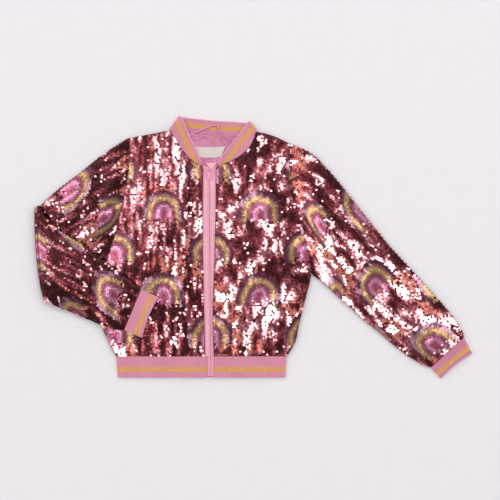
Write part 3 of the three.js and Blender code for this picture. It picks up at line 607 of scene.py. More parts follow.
def make(name, verts, faces, material, slot, attributes=None, sharp=50):
    """A piece on the garment from points in millimetres; none goes below the floor."""
    mesh = bpy.data.meshes.new(name)
    verts = np.asarray(verts, float).reshape(-1, 3) * MM
    verts[:, 2] = np.maximum(verts[:, 2], 0)
    mesh.from_pydata(verts.tolist(), [], faces)
    mesh.update()
    mesh.shade_smooth()
    if sharp:
        mesh.set_sharp_from_angle(angle=math.radians(sharp))
    for key, values in (attributes or {}).items():
        made = mesh.attributes.new(key, "FLOAT", "POINT")
        made.data.foreach_set("value", np.asarray(values, np.float32).ravel())
    mesh.materials.append(material)
    piece = add(name, mesh)
    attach(piece, "garment")
    return piece


def turned_out(verts, faces):
    """The faces, all reversed if the volume inside is negative."""
    p = np.asarray(verts, float).reshape(-1, 3)
    volume = 0.0
    for f in faces:
        a = p[f[0]]
        for b, c in zip(f[1:-1], f[2:]):
            volume += float(np.dot(a, np.cross(p[b], p[c])))
    return faces if volume > 0 else [tuple(reversed(f)) for f in faces]


def wall(outer, inner, ring=False):
    """Points and faces of a closed wall between two grids of points."""
    outer, inner = np.asarray(outer, float), np.asarray(inner, float)
    rows, steps = outer.shape[:2]
    verts = np.concatenate([outer.reshape(-1, 3), inner.reshape(-1, 3)])
    faces = []
    out = lambda i, j: (i % rows) * steps + j
    inn = lambda i, j: rows * steps + out(i, j)
    for i in range(rows if ring else rows - 1):
        for j in range(steps - 1):
            faces.append((out(i, j), out(i + 1, j), out(i + 1, j + 1), out(i, j + 1)))
            faces.append((inn(i, j), inn(i, j + 1), inn(i + 1, j + 1), inn(i + 1, j)))
        faces.append((out(i, 0), inn(i, 0), inn(i + 1, 0), out(i + 1, 0)))
        e = steps - 1
        faces.append((out(i, e), out(i + 1, e), inn(i + 1, e), inn(i, e)))
    if not ring:
        for j in range(steps - 1):
            e = rows - 1
            faces.append((out(0, j), out(0, j + 1), inn(0, j + 1), inn(0, j)))
            faces.append((out(e, j), inn(e, j), inn(e, j + 1), out(e, j + 1)))
    return verts, turned_out(verts, faces)


def twice(values):
    """A grid's values for both sides of a wall."""
    flat = np.asarray(values, float).ravel()
    return np.concatenate([flat, flat])


def tree_of(verts, faces):
    return BVHTree.FromPolygons([tuple(v) for v in np.asarray(verts, float)], faces)


# Fronts and back.
def edges(rows):
    """The curves through the first two numbers of each row and through the next two."""
    return Curve([r[:2] for r in rows]), Curve([r[2:4] for r in rows])


left_edges = edges(FRONT_LEFT)
right_edges = edges(FRONT_RIGHT)


def front_grid(edge_pair, columns=84, rows=132):
    """A front's upper and lower grids, with folds, gathers and ripples that fade at its edges."""
    inner, outer = edge_pair
    u = np.linspace(0, 1, columns + 1)[:, None]
    v = np.linspace(0, 1, rows + 1)[None, :]
    a = np.array([inner.at(t) for t in v[0]])
    b = np.array([outer.at(t) for t in v[0]])
    plan = lerp(a[None], b[None], u[..., None])
    x, y = plan[..., 0], plan[..., 1]
    swell = np.sin(math.pi * u) * np.sin(math.pi * np.minimum(1, v + 0.04))
    edge = np.sqrt(np.maximum(0, np.sin(math.pi * u)))
    level = np.sin(math.pi * v)
    folds = fold_height(FRONT_FOLDS, x, y) * level + gather_height(x, y)
    under = lerp(ZIP_UNDER, SIDE_UNDER, u) + FRONT_CROWN * swell * (v > 0) + folds * edge
    under = under + ripple(x, y) * edge * smooth(level * 3)
    bottom = np.stack([x, y, under], axis=-1)
    top = bottom + np.array([0, 0, CLOTH])
    return top, bottom


def back_grid(columns=40, rows=96):
    """The flat back's grids, whose upper end bends to the line of the neck and shoulders."""
    top_line = Curve(BACK_TOP)
    grid = np.zeros((columns + 1, rows + 1, 3))
    shoulders = (right_edges[1].at(1), left_edges[1].at(1))
    for j in range(rows + 1):
        v = j / rows
        bend = float(smooth((v - 0.7) / 0.3))
        a, b = right_edges[1].at(v), left_edges[1].at(v)
        for i in range(columns + 1):
            u = i / columns
            grid[i, j] = lerp(a, b, u) + bend * (top_line.at(u) - lerp(*shoulders, u))
    return grid + np.array([0, 0, CLOTH]), grid


# Flattened tubes.
def armhole(outer_edge, side):
    """The sleeve's first section, along the panel's armhole at a gap."""
    along = by_length(outer_edge, 1, UNDERARM_ROW / LEVELS, 2 * (LEVELS - UNDERARM_ROW))

    def at(w):
        w = np.asarray(w, float)
        run = heading(along, w, 0.01)
        away = np.stack([-run[..., 1], run[..., 0], 0 * run[..., 0]], axis=-1)
        return along(w) + away * side * ARMHOLE_GAP
    return at


def line(upper, lower, bow):
    """Places across a section from its upper to its lower end, with a bow in the middle."""
    def at(w):
        w = np.asarray(w, float)[..., None]
        return lerp(upper, lower, w) + bow * 4 * w * (1 - w)
    return at


def swell_of(height, w):
    """A round swell across a section, none at its edges."""
    return height * np.sin(math.pi * np.clip((w - 0.02) / 0.96, 0, 1)) ** 0.7


def shares_across(width, count):
    """Shares across a tube's section, close together at its rounded edges."""
    edge = np.array([0, 0.12, 0.4, 0.8, 1.3, 1.9, HALF_TUBE]) / width
    middle = np.linspace(edge[-1], 1 - edge[-1], count + 1)[1:-1]
    return np.concatenate([edge, middle, 1 - edge[::-1]])


def tube_grids(stations, shares, raised=None):
    """Outer and inner grids of a flattened tube, and each ring place's share across and side."""
    last = len(shares) - 1
    ring = [(k, 1) for k in range(last + 1)] + [(k, -1) for k in range(last - 1, 0, -1)]
    w = np.array([shares[k] for k, _ in ring])
    side = np.array([s for _, s in ring], float)
    outer = np.zeros((len(ring), len(stations), 3))
    inner = np.zeros_like(outer)
    for j, (middle, facing, width, swell, sag) in enumerate(stations):
        from_edge = np.minimum(w, 1 - w) * width
        round_off = np.sqrt(np.maximum(0, 1 - np.maximum(0, 1 - from_edge / HALF_TUBE) ** 2))
        big = np.where(side > 0, swell(w), sag(w))
        rib = raised(w, width) if raised else 0
        out = side * (HALF_TUBE * round_off + big + rib)
        outer[:, j] = middle(w) + out[:, None] * facing
        inset = np.maximum(from_edge, CLOTH + 0.35 * np.minimum(from_edge, HALF_TUBE)) / width
        w2 = np.where(w < 0.5, inset, 1 - inset)
        room = HALF_TUBE - CLOTH + np.where(side > 0, swell(w2), sag(w2))
        inn = side * room * np.where(from_edge == 0, 0, round_off)
        inner[:, j] = middle(w2) + inn[:, None] * facing
    return outer, inner, w, side


def no_swell(w):
    return 0 * w


def cloth_swell(at, crown, folds):
    """How far cloth stands out over a section: its crown, with folds and ripples on it."""
    def swell(w):
        p = at(w)
        folded = fold_height(folds, p[..., 0], p[..., 1]) + ripple(p[..., 0], p[..., 1])
        return swell_of(crown, w) + folded * smooth(crown) * swell_of(1, w)
    return swell


def flat_stations(rows, count, opening, folds, crown_at):
    """Sections of a sleeve lying flat: middle, facing, width and swells over and under."""
    upper, lower = edges(rows)
    bows = [r[4] for r in rows]
    first = line(upper.at(0), lower.at(0), np.zeros(3))
    stations = []
    for j in range(count + 1):
        s = j / count
        a, b = upper.at(s), lower.at(s)
        bow = np.interp(s * (len(rows) - 1), range(len(rows)), bows)
        out = unit(-left_of(b - a))
        at = line(a, b, out * bow)
        pull = float(1 - smooth(s / 0.45))
        crown = float(crown_at(s))

        def middle(w, at=at, pull=pull):
            place = at(w)
            if pull > 0:
                place = place + (opening(w) - first(w)) * pull
            return place * (1, 1, 0) + UP * HALF_TUBE
        swell = cloth_swell(at, crown, folds)
        stations.append((middle, UP, np.linalg.norm(a - b), swell, no_swell))
    return stations


def droop(w, under, start):
    """The height that the forearm rests at, from its upper to its lower edge."""
    return lerp(FOREARM_UNDER, under, smooth((w - start) / (1 - start)))


def sleeve_left_stations(count):
    crown = lambda s: SLEEVE_CROWN * smooth(s / 0.12) * (1 - 0.75 * smooth((s - 0.86) / 0.14))
    opening = armhole(left_edges[1], 1)
    return flat_stations(LEFT_SLEEVE, count, opening, LEFT_SLEEVE_FOLDS, crown)


def sleeve_right_stations(arm_count, turn_count, forearm_count):
    crown = lambda s: 2.2 * smooth(s / 0.2) * (1 - smooth((s - 0.8) / 0.2))
    opening = armhole(right_edges[1], -1)
    stations = flat_stations([*UPPER_ARM, ELBOW], arm_count, opening, UPPER_ARM_FOLDS, crown)
    top, bottom = ends_of(ELBOW)
    out = unit(-left_of(bottom - top))
    elbow = line(top, bottom, out * ELBOW[4])
    width = np.linalg.norm(top - bottom)
    for k in range(1, turn_count):
        angle = math.pi * k / turn_count
        facing = UP * math.cos(angle) - out * math.sin(angle)

        def middle(w, facing=facing):
            radius = droop(np.asarray(w, float), ELBOW_UNDER, ELBOW_DROOP)[..., None] / 2
            return elbow(w) + UP * (HALF_TUBE + radius) - facing * radius
        stations.append((middle, facing, width, no_swell, no_swell))
    return stations + forearm_stations(forearm_count)


def forearm_stations(count):
    upper, lower = edges(FOREARM)
    stations = []
    steps = range(len(FOREARM))
    for j in range(count + 1):
        share = j / count
        s = share * (len(FOREARM) - 1)
        bow, under, start = (np.interp(s, steps, [r[k] for r in FOREARM]) for k in (4, 5, 6))
        a, b = upper.at(share), lower.at(share)
        out = unit(-left_of(b - a))
        at = line(a, b, out * bow)
        crown = float(SLEEVE_CROWN * smooth(share / 0.3) * (1 - 0.7 * smooth((share - 0.8) / 0.2)))

        def middle(w, at=at, under=under, start=start):
            height = droop(np.asarray(w, float), under, start) + HALF_TUBE
            return at(w) + UP * height[..., None]
        sag = cloth_swell(at, crown, FOREARM_FOLDS)
        stations.append((middle, -UP, np.linalg.norm(a - b), no_swell, sag))
    return stations


def normals_of(rings, outwards):
    """Unit normals over rings of points, turned to agree with a guess of the outward direction."""
    across = np.roll(rings, -1, axis=0) - np.roll(rings, 1, axis=0)
    n = unit(np.cross(across, np.gradient(rings, axis=1)))
    return n * np.sign((n * outwards).sum(-1, keepdims=True) + 1e-9)


# The print: arches in coloured bands, repeated with a half drop.
ARCH_ACROSS = 158.0
ARCH_DOWN = 136.0
ARCH_RADIUS = 37.0
ARCH_LEGS = 14.0
FAR = 99
# The colours across an arch, each at its share of the radius.
ARCH_BANDS = [
    (0.00, (176, 84, 108)), (0.14, (196, 102, 134)), (0.27, (234, 172, 200)),
    (0.38, (166, 84, 122)), (0.48, (140, 72, 90)), (0.56, (164, 118, 88)),
    (0.66, (218, 180, 132)), (0.76, (176, 134, 96)), (0.81, (148, 104, 106)),
    (0.85, (110, 56, 74)), (0.95, (92, 44, 66)), (1.00, (120, 66, 88)),
]
# The tint of a painted highlight: lilac glints along an arch's outer band.
LILAC = np.array(srgb(232, 180, 206)[:3])
# The ground's tints, from its darkest sequins to its palest: the dark ones are painted shade between
# the sequins, the pale ones painted highlights on sequins that face the key light.
GROUND_TONES = np.array([srgb(*c)[:3] for c in [
    (58, 10, 18), (92, 24, 32), (122, 46, 56), (154, 74, 82), (194, 121, 128), (230, 170, 175),
    (244, 198, 203), (255, 226, 229),
]])
CORAL = np.array(srgb(232, 134, 118)[:3])
LIGHT_FROM = np.array([0.62, 0.78, 0.0])
# The sizes of patches in the ground's tone, of coral and of gloss on the print.
CLUMP_SIZE = (5.5, 9.0)
CORAL_SIZE = (34, 42)
GLOSS_SIZE = (13, 22)
# Tones run from 0 to 1. A ground sequin is dark below the first of these, bright above the second. A
# tone sets the tilt towards the light and also the tint, as painted shade and painted highlight.
DARK_TONE = 0.42
BRIGHT_TONE = 0.6
PALE_TONE = 0.85
TONE_SPREAD = 0.6
# From a sequin's tone to its tilt towards the light and to how much that varies, in degrees.
TILT_BY_TONE = ([0, 0.4, 0.6, 0.72, 1], [-11, -8, -4, 9, 13])
VARIES_BY_TONE = ([0, 0.5, 0.75, 1], [3.4, 3.2, 2.5, 3.0])
PRINT_TILT, PRINT_GLOSS_TILT, PRINT_VARIES = -5, 11, 2.0
TILT_LIMIT = 24
HANG = 3
SEQUIN_SIDES = 8
SEQUIN_LIFT = 0.25
SEQUIN_DISH = 0.12


def cloth_look(shift, grain, streak, bias, shade=1.04, highest=190, brighter=(0.0, 0.0, 1.0)):
    """How a piece's sequins look.

    Shift moves the print. Grain and streak are sizes of patches. Bias is added to the tone, which
    sets the tilt and the tint, and shade multiplies the tint; a low bias and a shade below 1 put
    painted shade over a whole piece, besides the tilt. Highest is the last arch's level. Brighter
    says how much the tone rises above a place, that place and the length of the change; a rise
    paints light and a fall paints shade on that part, besides the tilt it gives.
    """
    return {"shift": shift, "grain": grain, "streak": streak, "bias": bias, "shade": shade,
            "highest": highest, "brighter": brighter}


FRONT_SHIFT = (-79.0, 94.0)
NO_LIMIT = 900
# The right sleeve's low bias and shade, its brighter upper arm and the left front's darker shoulder
# are painted light and shade besides the tilt they give.
LOOKS = {
    "front_left": cloth_look(FRONT_SHIFT, (30, 40), (8, 15), 0.02, brighter=(-0.3, 110, 50)),
    "front_right": cloth_look(FRONT_SHIFT, (18, 60), (4.5, 24), -0.04),
    "sleeve_left": cloth_look((4.0, -44.0), (26, 66), (8, 20), 0.04, highest=NO_LIMIT),
    "sleeve_right": cloth_look((6.0, -30.0), (20, 56), (5, 22), -0.74, 0.84, NO_LIMIT,
                               (0.42, -205, 40)),
    "back": cloth_look((0.0, 94.0), (26, 50), (8, 22), -0.02),
}
# The share of the cloth's slope that the sequins on it don't follow.
LEVELLED = 0.6


def arch_share(p, q, look, ragged):
    """How far out a place lies in the nearest arch of the repeat; over 1 is the ground."""
    shift = look["shift"]
    p, q = p - shift[0], q - shift[1]
    p = p + 3.0 * warp_noise.at(p / 30, q / 30)
    q = q + 3.0 * warp_noise.at(p / 33 + 20, q / 27)
    best = np.full(np.shape(p), 9.0)
    for drop in (0.0, 0.5):
        dx = ((p / ARCH_ACROSS + drop + 0.5) % 1 - 0.5) * ARCH_ACROSS
        dy = ((q / ARCH_DOWN + drop + 0.5) % 1 - 0.5) * ARCH_DOWN
        high = np.hypot(dx, dy * 0.96)
        low = np.abs(dx) + FAR * (dy < -ARCH_LEGS + ragged)
        reach = np.where(dy > 0, high, low) + FAR * (q - dy + shift[1] > look["highest"])
        best = np.minimum(best, reach / ARCH_RADIUS)
    return best


warp_noise = Noise(3)
broad_noise = Noise(5)
streak_noise = Noise(29)
clump_noise = Noise(53)
coral_noise = Noise(23)
gloss_noise = Noise(41)


def sequin_looks(p, q, look, rng):
    """The colour and the tilt of each sequin from its place in the print and on the cloth."""
    count = len(p)
    share = arch_share(p, q, look, rng.normal(0, 4.5, count))
    share = share + rng.normal(0, 0.012, count)
    broad = broad_noise.over(p, q, look["grain"])
    streak = streak_noise.over(p, q, look["streak"])
    clump = clump_noise.over(p, q, CLUMP_SIZE)
    # Off the print, the tone sets a sequin's tilt towards the light and also its tint, whose dark
    # end is painted shade and pale end painted highlight.
    tone = 0.7 * broad + 0.8 * streak + 0.35 * clump + rng.normal(0, 0.15, count) + look["bias"]
    rise, start, reach = look["brighter"]
    tone = tone + rise * smooth((q - start) / reach)
    tone = np.clip(0.5 + tone * TONE_SPREAD, 0, 1)
    speck = rng.uniform(0, 1, count)
    # Dark specks among bright sequins: tilted away from the light, with painted shade in their tint.
    dark = (tone > BRIGHT_TONE) & ((speck < 0.11) | ((clump < -0.3) & (speck < 0.5)))
    tone = np.where(dark, rng.uniform(0.0, 0.2, count), tone)
    # Glints among dark sequins: tilted to the light, with a painted highlight in their pale tint.
    glint = (tone < DARK_TONE) & ((speck > 0.995) | ((clump > 0.55) & (speck > 0.4)))
    tone = np.where(glint & ~dark, rng.uniform(0.6, 0.98, count), tone)
    place = tone * (len(GROUND_TONES) - 1)
    k = np.clip(place.astype(int), 0, len(GROUND_TONES) - 2)
    tint = lerp(GROUND_TONES[k], GROUND_TONES[k + 1], (place - k)[:, None])
    coral = smooth((coral_noise.over(p, q, CORAL_SIZE) - 0.3) / 0.15)
    coral = coral * (tone > DARK_TONE) * (tone < PALE_TONE)
    tint = lerp(tint, CORAL, 0.85 * coral[:, None])
    toward = np.interp(tone, *TILT_BY_TONE)
    toward = toward * (1 - coral) - 2.0 * coral
    loose = np.interp(tone, *VARIES_BY_TONE) * (1 - 0.4 * coral)
    gloss = gloss_noise.over(p, q, GLOSS_SIZE) + 0.4 * gloss_noise.at(p / 5 + 5, q / 9)
    printed = share < 1
    edges_at = [edge for edge, _ in ARCH_BANDS]
    band = np.stack([np.interp(share, edges_at, [srgb(*c)[k] for _, c in ARCH_BANDS])
                     for k in range(3)], axis=1)
    # Painted highlight: lilac on the outer band where the gloss noise is high.
    sheen = smooth((gloss - 0.25) / 0.3) * (share > 0.8)
    band = lerp(band, LILAC, 0.5 * sheen[:, None])
    tint = np.where(printed[:, None], band, tint)
    toward = np.where(printed, PRINT_TILT + PRINT_GLOSS_TILT * gloss, toward)
    loose = np.where(printed, PRINT_VARIES, loose)
    side = rng.normal(0, 1, (count, 2)) * loose[:, None]
    tilt = LIGHT_FROM[None, :2] * toward[:, None] + side
    depth = np.where(printed, 0.09, 0.07)
    return look["shade"] * tint * np.exp(rng.normal(0, 1, count) * depth)[:, None], tilt


def sequins(node, found, seed):
    """Overlapping round sequins, each hung by its upper edge, as one joined mesh."""
    look = LOOKS[node]
    rng = np.random.default_rng(seed)
    places, normals, falls, prints = found
    count = len(places)
    tint, tilt = sequin_looks(prints[:, 0], prints[:, 1], look, rng)
    n = unit(normals)
    slope = np.degrees(np.arcsin(np.clip((n[:, :2] * LIGHT_FROM[:2]).sum(1), -0.5, 0.5)))
    tilt = tilt - LIGHT_FROM[None, :2] * (LEVELLED * slope)[:, None]
    tilt = np.where(n[:, 2:] < -0.5, tilt * 0.2, tilt)
    lean = np.tan(np.radians(np.clip(tilt, -TILT_LIMIT, TILT_LIMIT)))
    lean = np.concatenate([lean, np.zeros((count, 1))], axis=1)
    lean = lean - n * (lean * n).sum(-1, keepdims=True)
    fall = unit(falls - n * (falls * n).sum(-1, keepdims=True))
    n2 = unit(n + lean - fall * math.tan(math.radians(HANG)))
    f = unit(fall - n2 * (fall * n2).sum(-1, keepdims=True))
    s = np.cross(n2, f)
    radius = SEQUIN_RADIUS * rng.uniform(0.96, 1.04, count)
    off = np.arccos(np.clip((n2 * n).sum(-1), -1, 1))
    centre = places + n * (SEQUIN_LIFT + radius * np.sin(off) * 0.85)[:, None]
    sides = SEQUIN_SIDES
    angles = np.arange(sides) * 2 * math.pi / sides + math.pi / sides
    rim = f[:, None] * np.cos(angles)[None, :, None] + s[:, None] * np.sin(angles)[None, :, None]
    rim = centre[:, None] + rim * radius[:, None, None]
    dish = centre - n2 * SEQUIN_DISH
    verts = np.concatenate([dish[:, None], rim], axis=1)
    base = np.arange(count)[:, None] * (sides + 1)
    k = np.arange(sides)[None, :]
    tri = np.stack([base + 0 * k, base + 1 + k, base + 1 + (k + 1) % sides], axis=-1)
    faces = [tuple(t) for t in tri.reshape(-1, 3).tolist()]
    piece = make("sequins_" + node, verts, faces, film, "sequin_cloth", sharp=0)
    colours = piece.data.color_attributes.new("tint", "FLOAT_COLOR", "POINT")
    rgba = np.ones((count, sides + 1, 4), np.float32)
    rgba[..., :3] = np.clip(tint, 0, 1)[:, None]
    colours.data.foreach_set("color", rgba.ravel())


def inside_outline(x, y, outline, inset):
    """Whether a place lies inside a closed outline, at least inset from its edge."""
    o = np.asarray(outline, float)[:, :2]
    o2 = np.roll(o, -1, axis=0)
    crossing = ((o[:, 1] > y) != (o2[:, 1] > y))
    with np.errstate(divide="ignore", invalid="ignore"):
        xs = o[:, 0] + (y - o[:, 1]) * (o2[:, 0] - o[:, 0]) / (o2[:, 1] - o[:, 1])
    if not np.count_nonzero(crossing & (x < xs)) % 2:
        return False
    run = o2 - o
    t = np.clip(((x - o[:, 0]) * run[:, 0] + (y - o[:, 1]) * run[:, 1])
                / np.maximum((run ** 2).sum(1), 1e-9), 0, 1)
    return float(np.hypot(o[:, 0] + t * run[:, 0] - x, o[:, 1] + t * run[:, 1] - y).min()) > inset


def grid_outline(grid):
    return np.concatenate([grid[0, :], grid[1:, -1], grid[-1, -2::-1], grid[-2:0:-1, 0]])


def covered(place, trees, reach=8.0):
    """Whether a place lies well below another layer of the jacket."""
    for dx, dy in ((0, 0), (reach, 0), (-reach, 0), (0, reach), (0, -reach)):
        start = Vector((place[0] + dx, place[1] + dy, place[2] + 1.2))
        if not any(t.ray_cast(start, Vector((0, 0, 1)))[0] for t in trees):
            return False
    return True


def lattice_on(verts, faces, outline, inset, down, cover=()):
    """Places and normals of a staggered lattice laid over the top or the underside of a panel."""
    tree = tree_of(verts, faces)
    low, high = outline[:, :2].min(0), outline[:, :2].max(0)
    places, normals = [], []
    row = 0
    y = high[1]
    while y > low[1]:
        x = low[0] + (SEQUIN_ACROSS / 2 if row % 2 else 0)
        while x < high[0]:
            if inside_outline(x, y, outline, inset):
                start = Vector((x, y, 40 if down else -40))
                hit, normal, _, _ = tree.ray_cast(start, Vector((0, 0, -1 if down else 1)))
                if hit and not (cover and covered(hit, cover)):
                    places.append(hit)
                    normals.append(normal)
            x += SEQUIN_ACROSS
        y -= SEQUIN_DOWN
        row += 1
    return np.array(places), np.array(normals)


def rows_on(outer, facing_out, keep, turned):
    """Places, normals, falls and print places of rows of sequins round a sleeve."""
    normals = normals_of(outer, facing_out)
    run = lengths_along(outer.mean(0))
    found = []
    goals = np.arange(1.2, run[-1] - 0.6, SEQUIN_DOWN)
    for row, goal in enumerate(goals):
        k = int(np.clip(np.searchsorted(run, goal) - 1, 0, len(run) - 2))
        part = (goal - run[k]) / (run[k + 1] - run[k])
        ring = lerp(outer[:, k], outer[:, k + 1], part)
        ring_n = unit(lerp(normals[:, k], normals[:, k + 1], part))
        fall = outer[:, k + 1] - outer[:, k]
        length = lengths_along(np.vstack([ring, ring[:1]]))
        count = int(length[-1] / SEQUIN_ACROSS)
        offset = 0.5 if row % 2 else 0.0
        for c in range(count):
            at = (c + offset) * length[-1] / count
            i = int(np.searchsorted(length, at, side="right") - 1) % len(ring)
            t = (at - length[i]) / (length[i + 1] - length[i])
            i2 = (i + 1) % len(ring)
            place = lerp(ring[i], ring[i2], t)
            normal = unit(lerp(ring_n[i], ring_n[i2], t))
            if keep(place, normal):
                centre = length[-1] * (0.75 if turned[k] else 0.25)
                found.append((place, normal, lerp(fall[i], fall[i2], t), (at - centre, -goal)))
    return [np.array([f[k] for f in found]) for k in range(4)]


# The body. Each node's soft piece, its points and faces, and the small pieces on it.
shells = {}


def raised_under(grid):
    """The underside a little higher, so that the sequins on it still lie on the floor."""
    high = grid.copy()
    high[..., 2] += UNDER_RAISE * (1 - smooth(grid[..., 2] / 4.0))
    return high


def soft(name, node, grids, material, slot, attributes=None, ring=False):
    """The soft piece that takes a node's place, a wall between two grids."""
    shells[node] = wall(*grids, ring)
    make(name, *shells[node], material, slot, attributes)
    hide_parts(node)


def sleeve(node, stations, shares):
    """A sleeve's cloth, and what its sequins need: its outside, the sides and each facing."""
    outer, inner, _, side = tube_grids(stations, shares)
    outer = raised_under(outer)
    soft("cloth_" + node, node, (outer, inner), backing, "sequin_cloth", ring=True)
    return node, outer, side, np.array([station[1] for station in stations])


right_sleeve = sleeve("sleeve_right", sleeve_right_stations(48, 10, 60), shares_across(150, 46))
left_sleeve = sleeve("sleeve_left", sleeve_left_stations(104), shares_across(140, 46))


def cuff_grids(start, end, under, count=10):
    """A ribbed cuff's grids, the band places over it, and its length."""
    (a0, b0), (a1, b1) = ends_of(start), ends_of(end)
    out = unit(left_of(b0 - a0))
    if np.dot(out, a1 - a0) < 0:
        out = -out
    a0, b0 = a0 + out * GAP, b0 + out * GAP
    stations = []
    for j in range(count + 1):
        s = j / count
        a, b = lerp(a0, a1, s), lerp(b0, b1, s)
        at = line(a, b, out * (-3 * s * s))
        belly = 1 - 0.25 * math.sin(math.pi * s)

        def middle(w, at=at):
            return at(w) + UP * (under + HALF_TUBE)
        swell = lambda w, belly=belly: swell_of(CUFF_CROWN * belly, w)
        stations.append((middle, UP, np.linalg.norm(a - b), swell, no_swell))
    width = np.linalg.norm(a0 - b0)
    count_across = 4 * round((width - FLAT_TUBE) / RIB_PITCH)
    shares = shares_across(width, count_across)

    def raised(w, here):
        far = np.minimum(w, 1 - w) * here
        fade = smooth((far - 1.5) / 2)
        return fade * rib_height(w * width)
    outer, inner, w, _ = tube_grids(stations, shares, raised)
    length = np.linalg.norm(lerp(a0, b0, 0.5) - lerp(a1, b1, 0.5))
    across = np.linspace(0, length * MM, count + 1)
    along = (w * width * MM)[:, None]
    return (outer, inner), band_places(along, across, outer.shape[:2]), length


# A thin pale gold line and a bright one beside it: from the stripe's centre, and their strength.
STRIPE_LINES = ((-0.0040, -0.0014, 0.75), (-0.0007, 0.0041, 1.0))


def stripe(centre):
    """The stripe's lines at a distance from the band's free edge."""
    return [(centre + low, centre + high, strength) for low, high, strength in STRIPE_LINES]


def rib_height(distance):
    """How far the ribs stand out at a distance along a band."""
    return RIB_RAISE * (0.5 + 0.5 * np.cos(2 * math.pi * distance / RIB_PITCH))


def band_places(along, across, shape):
    """How far each place of a wall is along the band and across it, in metres."""
    return {"along": twice(np.broadcast_to(along, shape)),
            "across": twice(np.broadcast_to(across, shape))}


def cuff(node, start, end, under, share, pinks):
    """A rib cuff with its stripe at a share of its length."""
    grids, attributes, length = cuff_grids(start, end, under)
    knit = rib_material("rib_" + node, stripe(share * length * MM), *pinks)
    soft("knit_" + node, node, grids, knit, "rib_knit", attributes, ring=True)


# The left cuff takes deeper pinks than the right one, though the knit is the same: painted shade.
cuff("cuff_left", LEFT_SLEEVE[-1], LEFT_CUFF_END, 0, 0.62, (RIB_DEEP, srgb(196, 118, 148)))
cuff("cuff_right", FOREARM[-1], RIGHT_CUFF_END, FOREARM_UNDER, 0.64, (RIB_PINK, RIB_DEEP))
folded_arm = [tree_of(*shells["sleeve_right"]), tree_of(*shells["cuff_right"])]


def panel(node, top, bottom, down, cover, mirror, seed):
    """A panel with sequins on its upper or its lower side, and their print mirrored or not."""
    soft("cloth_" + node, node, (top, bottom), backing, "sequin_cloth")
    places, normals = lattice_on(*shells[node], grid_outline(top), 0.9, down, cover)
    falls = np.tile([0.0, -1.0, 0.0], (len(places), 1))
    prints = places[:, :2] * (mirror, 1)
    sequins(node, (places, normals, falls, prints), seed)


for seed, (node, edge_pair) in enumerate(
        (("front_left", left_edges), ("front_right", right_edges))):
    panel(node, *front_grid(edge_pair), True, folded_arm, 1, 100 + seed)
back_top, back_bottom = back_grid()
panel("back", back_top, raised_under(back_bottom), False, (), -1, 103)


def sleeve_sequins(made, keep, seed):
    """Sequins round a sleeve, where keep says so."""
    node, outer, side, facing = made
    from_middle = outer - outer.mean(0, keepdims=True)
    outwards = side[:, None, None] * facing[None] + 0.002 * from_middle
    sequins(node, rows_on(outer, outwards, keep, facing[:, 2] < 0), seed)


def shows_on_right(place, normal):
    """Whether a sequin lies outside the folded sleeve's hidden inner sides."""
    if covered(place + normal * 0.5, folded_arm[:1], 6.0):
        return False
    return normal[2] > -0.35 or place[2] < 4


sleeve_sequins(left_sleeve, lambda place, normal: True, 104)
sleeve_sequins(right_sleeve, shows_on_right, 105)


# The collar.
def collar_stations():
    """Seam and free edge round the neck: right front, turn, back, turn and left front."""
    def front_part(panel_edge, rows, side):
        seam_at = by_length(panel_edge, ZIP_TOP_ROW / LEVELS, 1, 2 * (LEVELS - ZIP_TOP_ROW))
        edge_at = by_length(Curve(rows), 0, 1)
        part = []
        for k in range(61):
            share = k / 60
            inwards = left_of(heading(seam_at, share, 0.02)) * side * NECK_GAP
            lift = float(smooth(share / 0.35))
            seam = (seam_at(share) + inwards) * (1, 1, 0) + UP * COLLAR_SEAM_Z
            edge = edge_at(share) * (1, 1, 0) + UP * lerp(COLLAR_END_Z, COLLAR_EDGE_Z, lift)
            part.append((seam, edge))
        return part
    back_seam = by_length(Curve(BACK_TOP), 1 / 4, 3 / 4, 4)
    back_edge = by_length(Curve(COLLAR_BACK_EDGE), 0, 1)
    back_part = []
    for k in range(61):
        seam = back_seam(k / 60) + np.array([0, NECK_GAP, CLOTH / 2])
        back_part.append((seam, back_edge(k / 60) + UP * CLOTH / 2))

    def turn(high, low):
        along = unit(low[1] - low[0])
        side = np.sign(high[0][0])
        out = np.array([along[1] * side, -along[0] * side, 0])
        made = []
        for angle in HALF_TURN:
            pair = []
            for a, b in zip(high, low):
                radius = (a[2] - b[2]) / 2
                pair.append(lerp(a, b, (1 - math.cos(angle)) / 2) + out * radius * math.sin(angle))
            made.append(tuple(pair))
        return made
    right = front_part(right_edges[0], COLLAR_RIGHT_EDGE, -1)
    left = front_part(left_edges[0], COLLAR_LEFT_EDGE, 1)
    return [*right, *turn(right[-1], back_part[0]), *back_part,
            *turn(left[-1], back_part[-1])[::-1], *left[::-1]]


def collar_grids(spacing=0.5, levels=10):
    """The collar's ribbed outside and inside, and the band places over it."""
    pairs = np.array(collar_stations())
    run = lengths_along(pairs.mean(1))
    goals = np.linspace(0, run[-1], int(run[-1] / spacing) + 1)
    even = np.stack([place_at(goals, run, pairs[:, e]) for e in range(2)], axis=1)
    wide = 6
    padded = np.pad(even.sum(1), ((wide, wide), (0, 0)), mode="edge")
    step = padded[2 * wide:] - padded[:-2 * wide]
    inside = unit(np.cross(step, even[:, 1] - even[:, 0]))
    rib = rib_height(goals)
    t = np.linspace(0, 1, levels + 1)
    middle = lerp(even[:, :1], even[:, 1:], t[None, :, None])
    belly = 0.35 * np.sin(math.pi * t)[None, :, None]
    push = inside[:, None] * (CLOTH / 2)
    outer = middle - push - inside[:, None] * (rib[:, None, None] + belly)
    inner = middle + push + inside[:, None] * (0.5 * rib[:, None, None])
    width = np.linalg.norm(even[:, 1] - even[:, 0], axis=1)
    from_edge = (1 - t[None]) * width[:, None] * MM
    return (outer, inner), band_places((goals * MM)[:, None], from_edge, from_edge.shape)


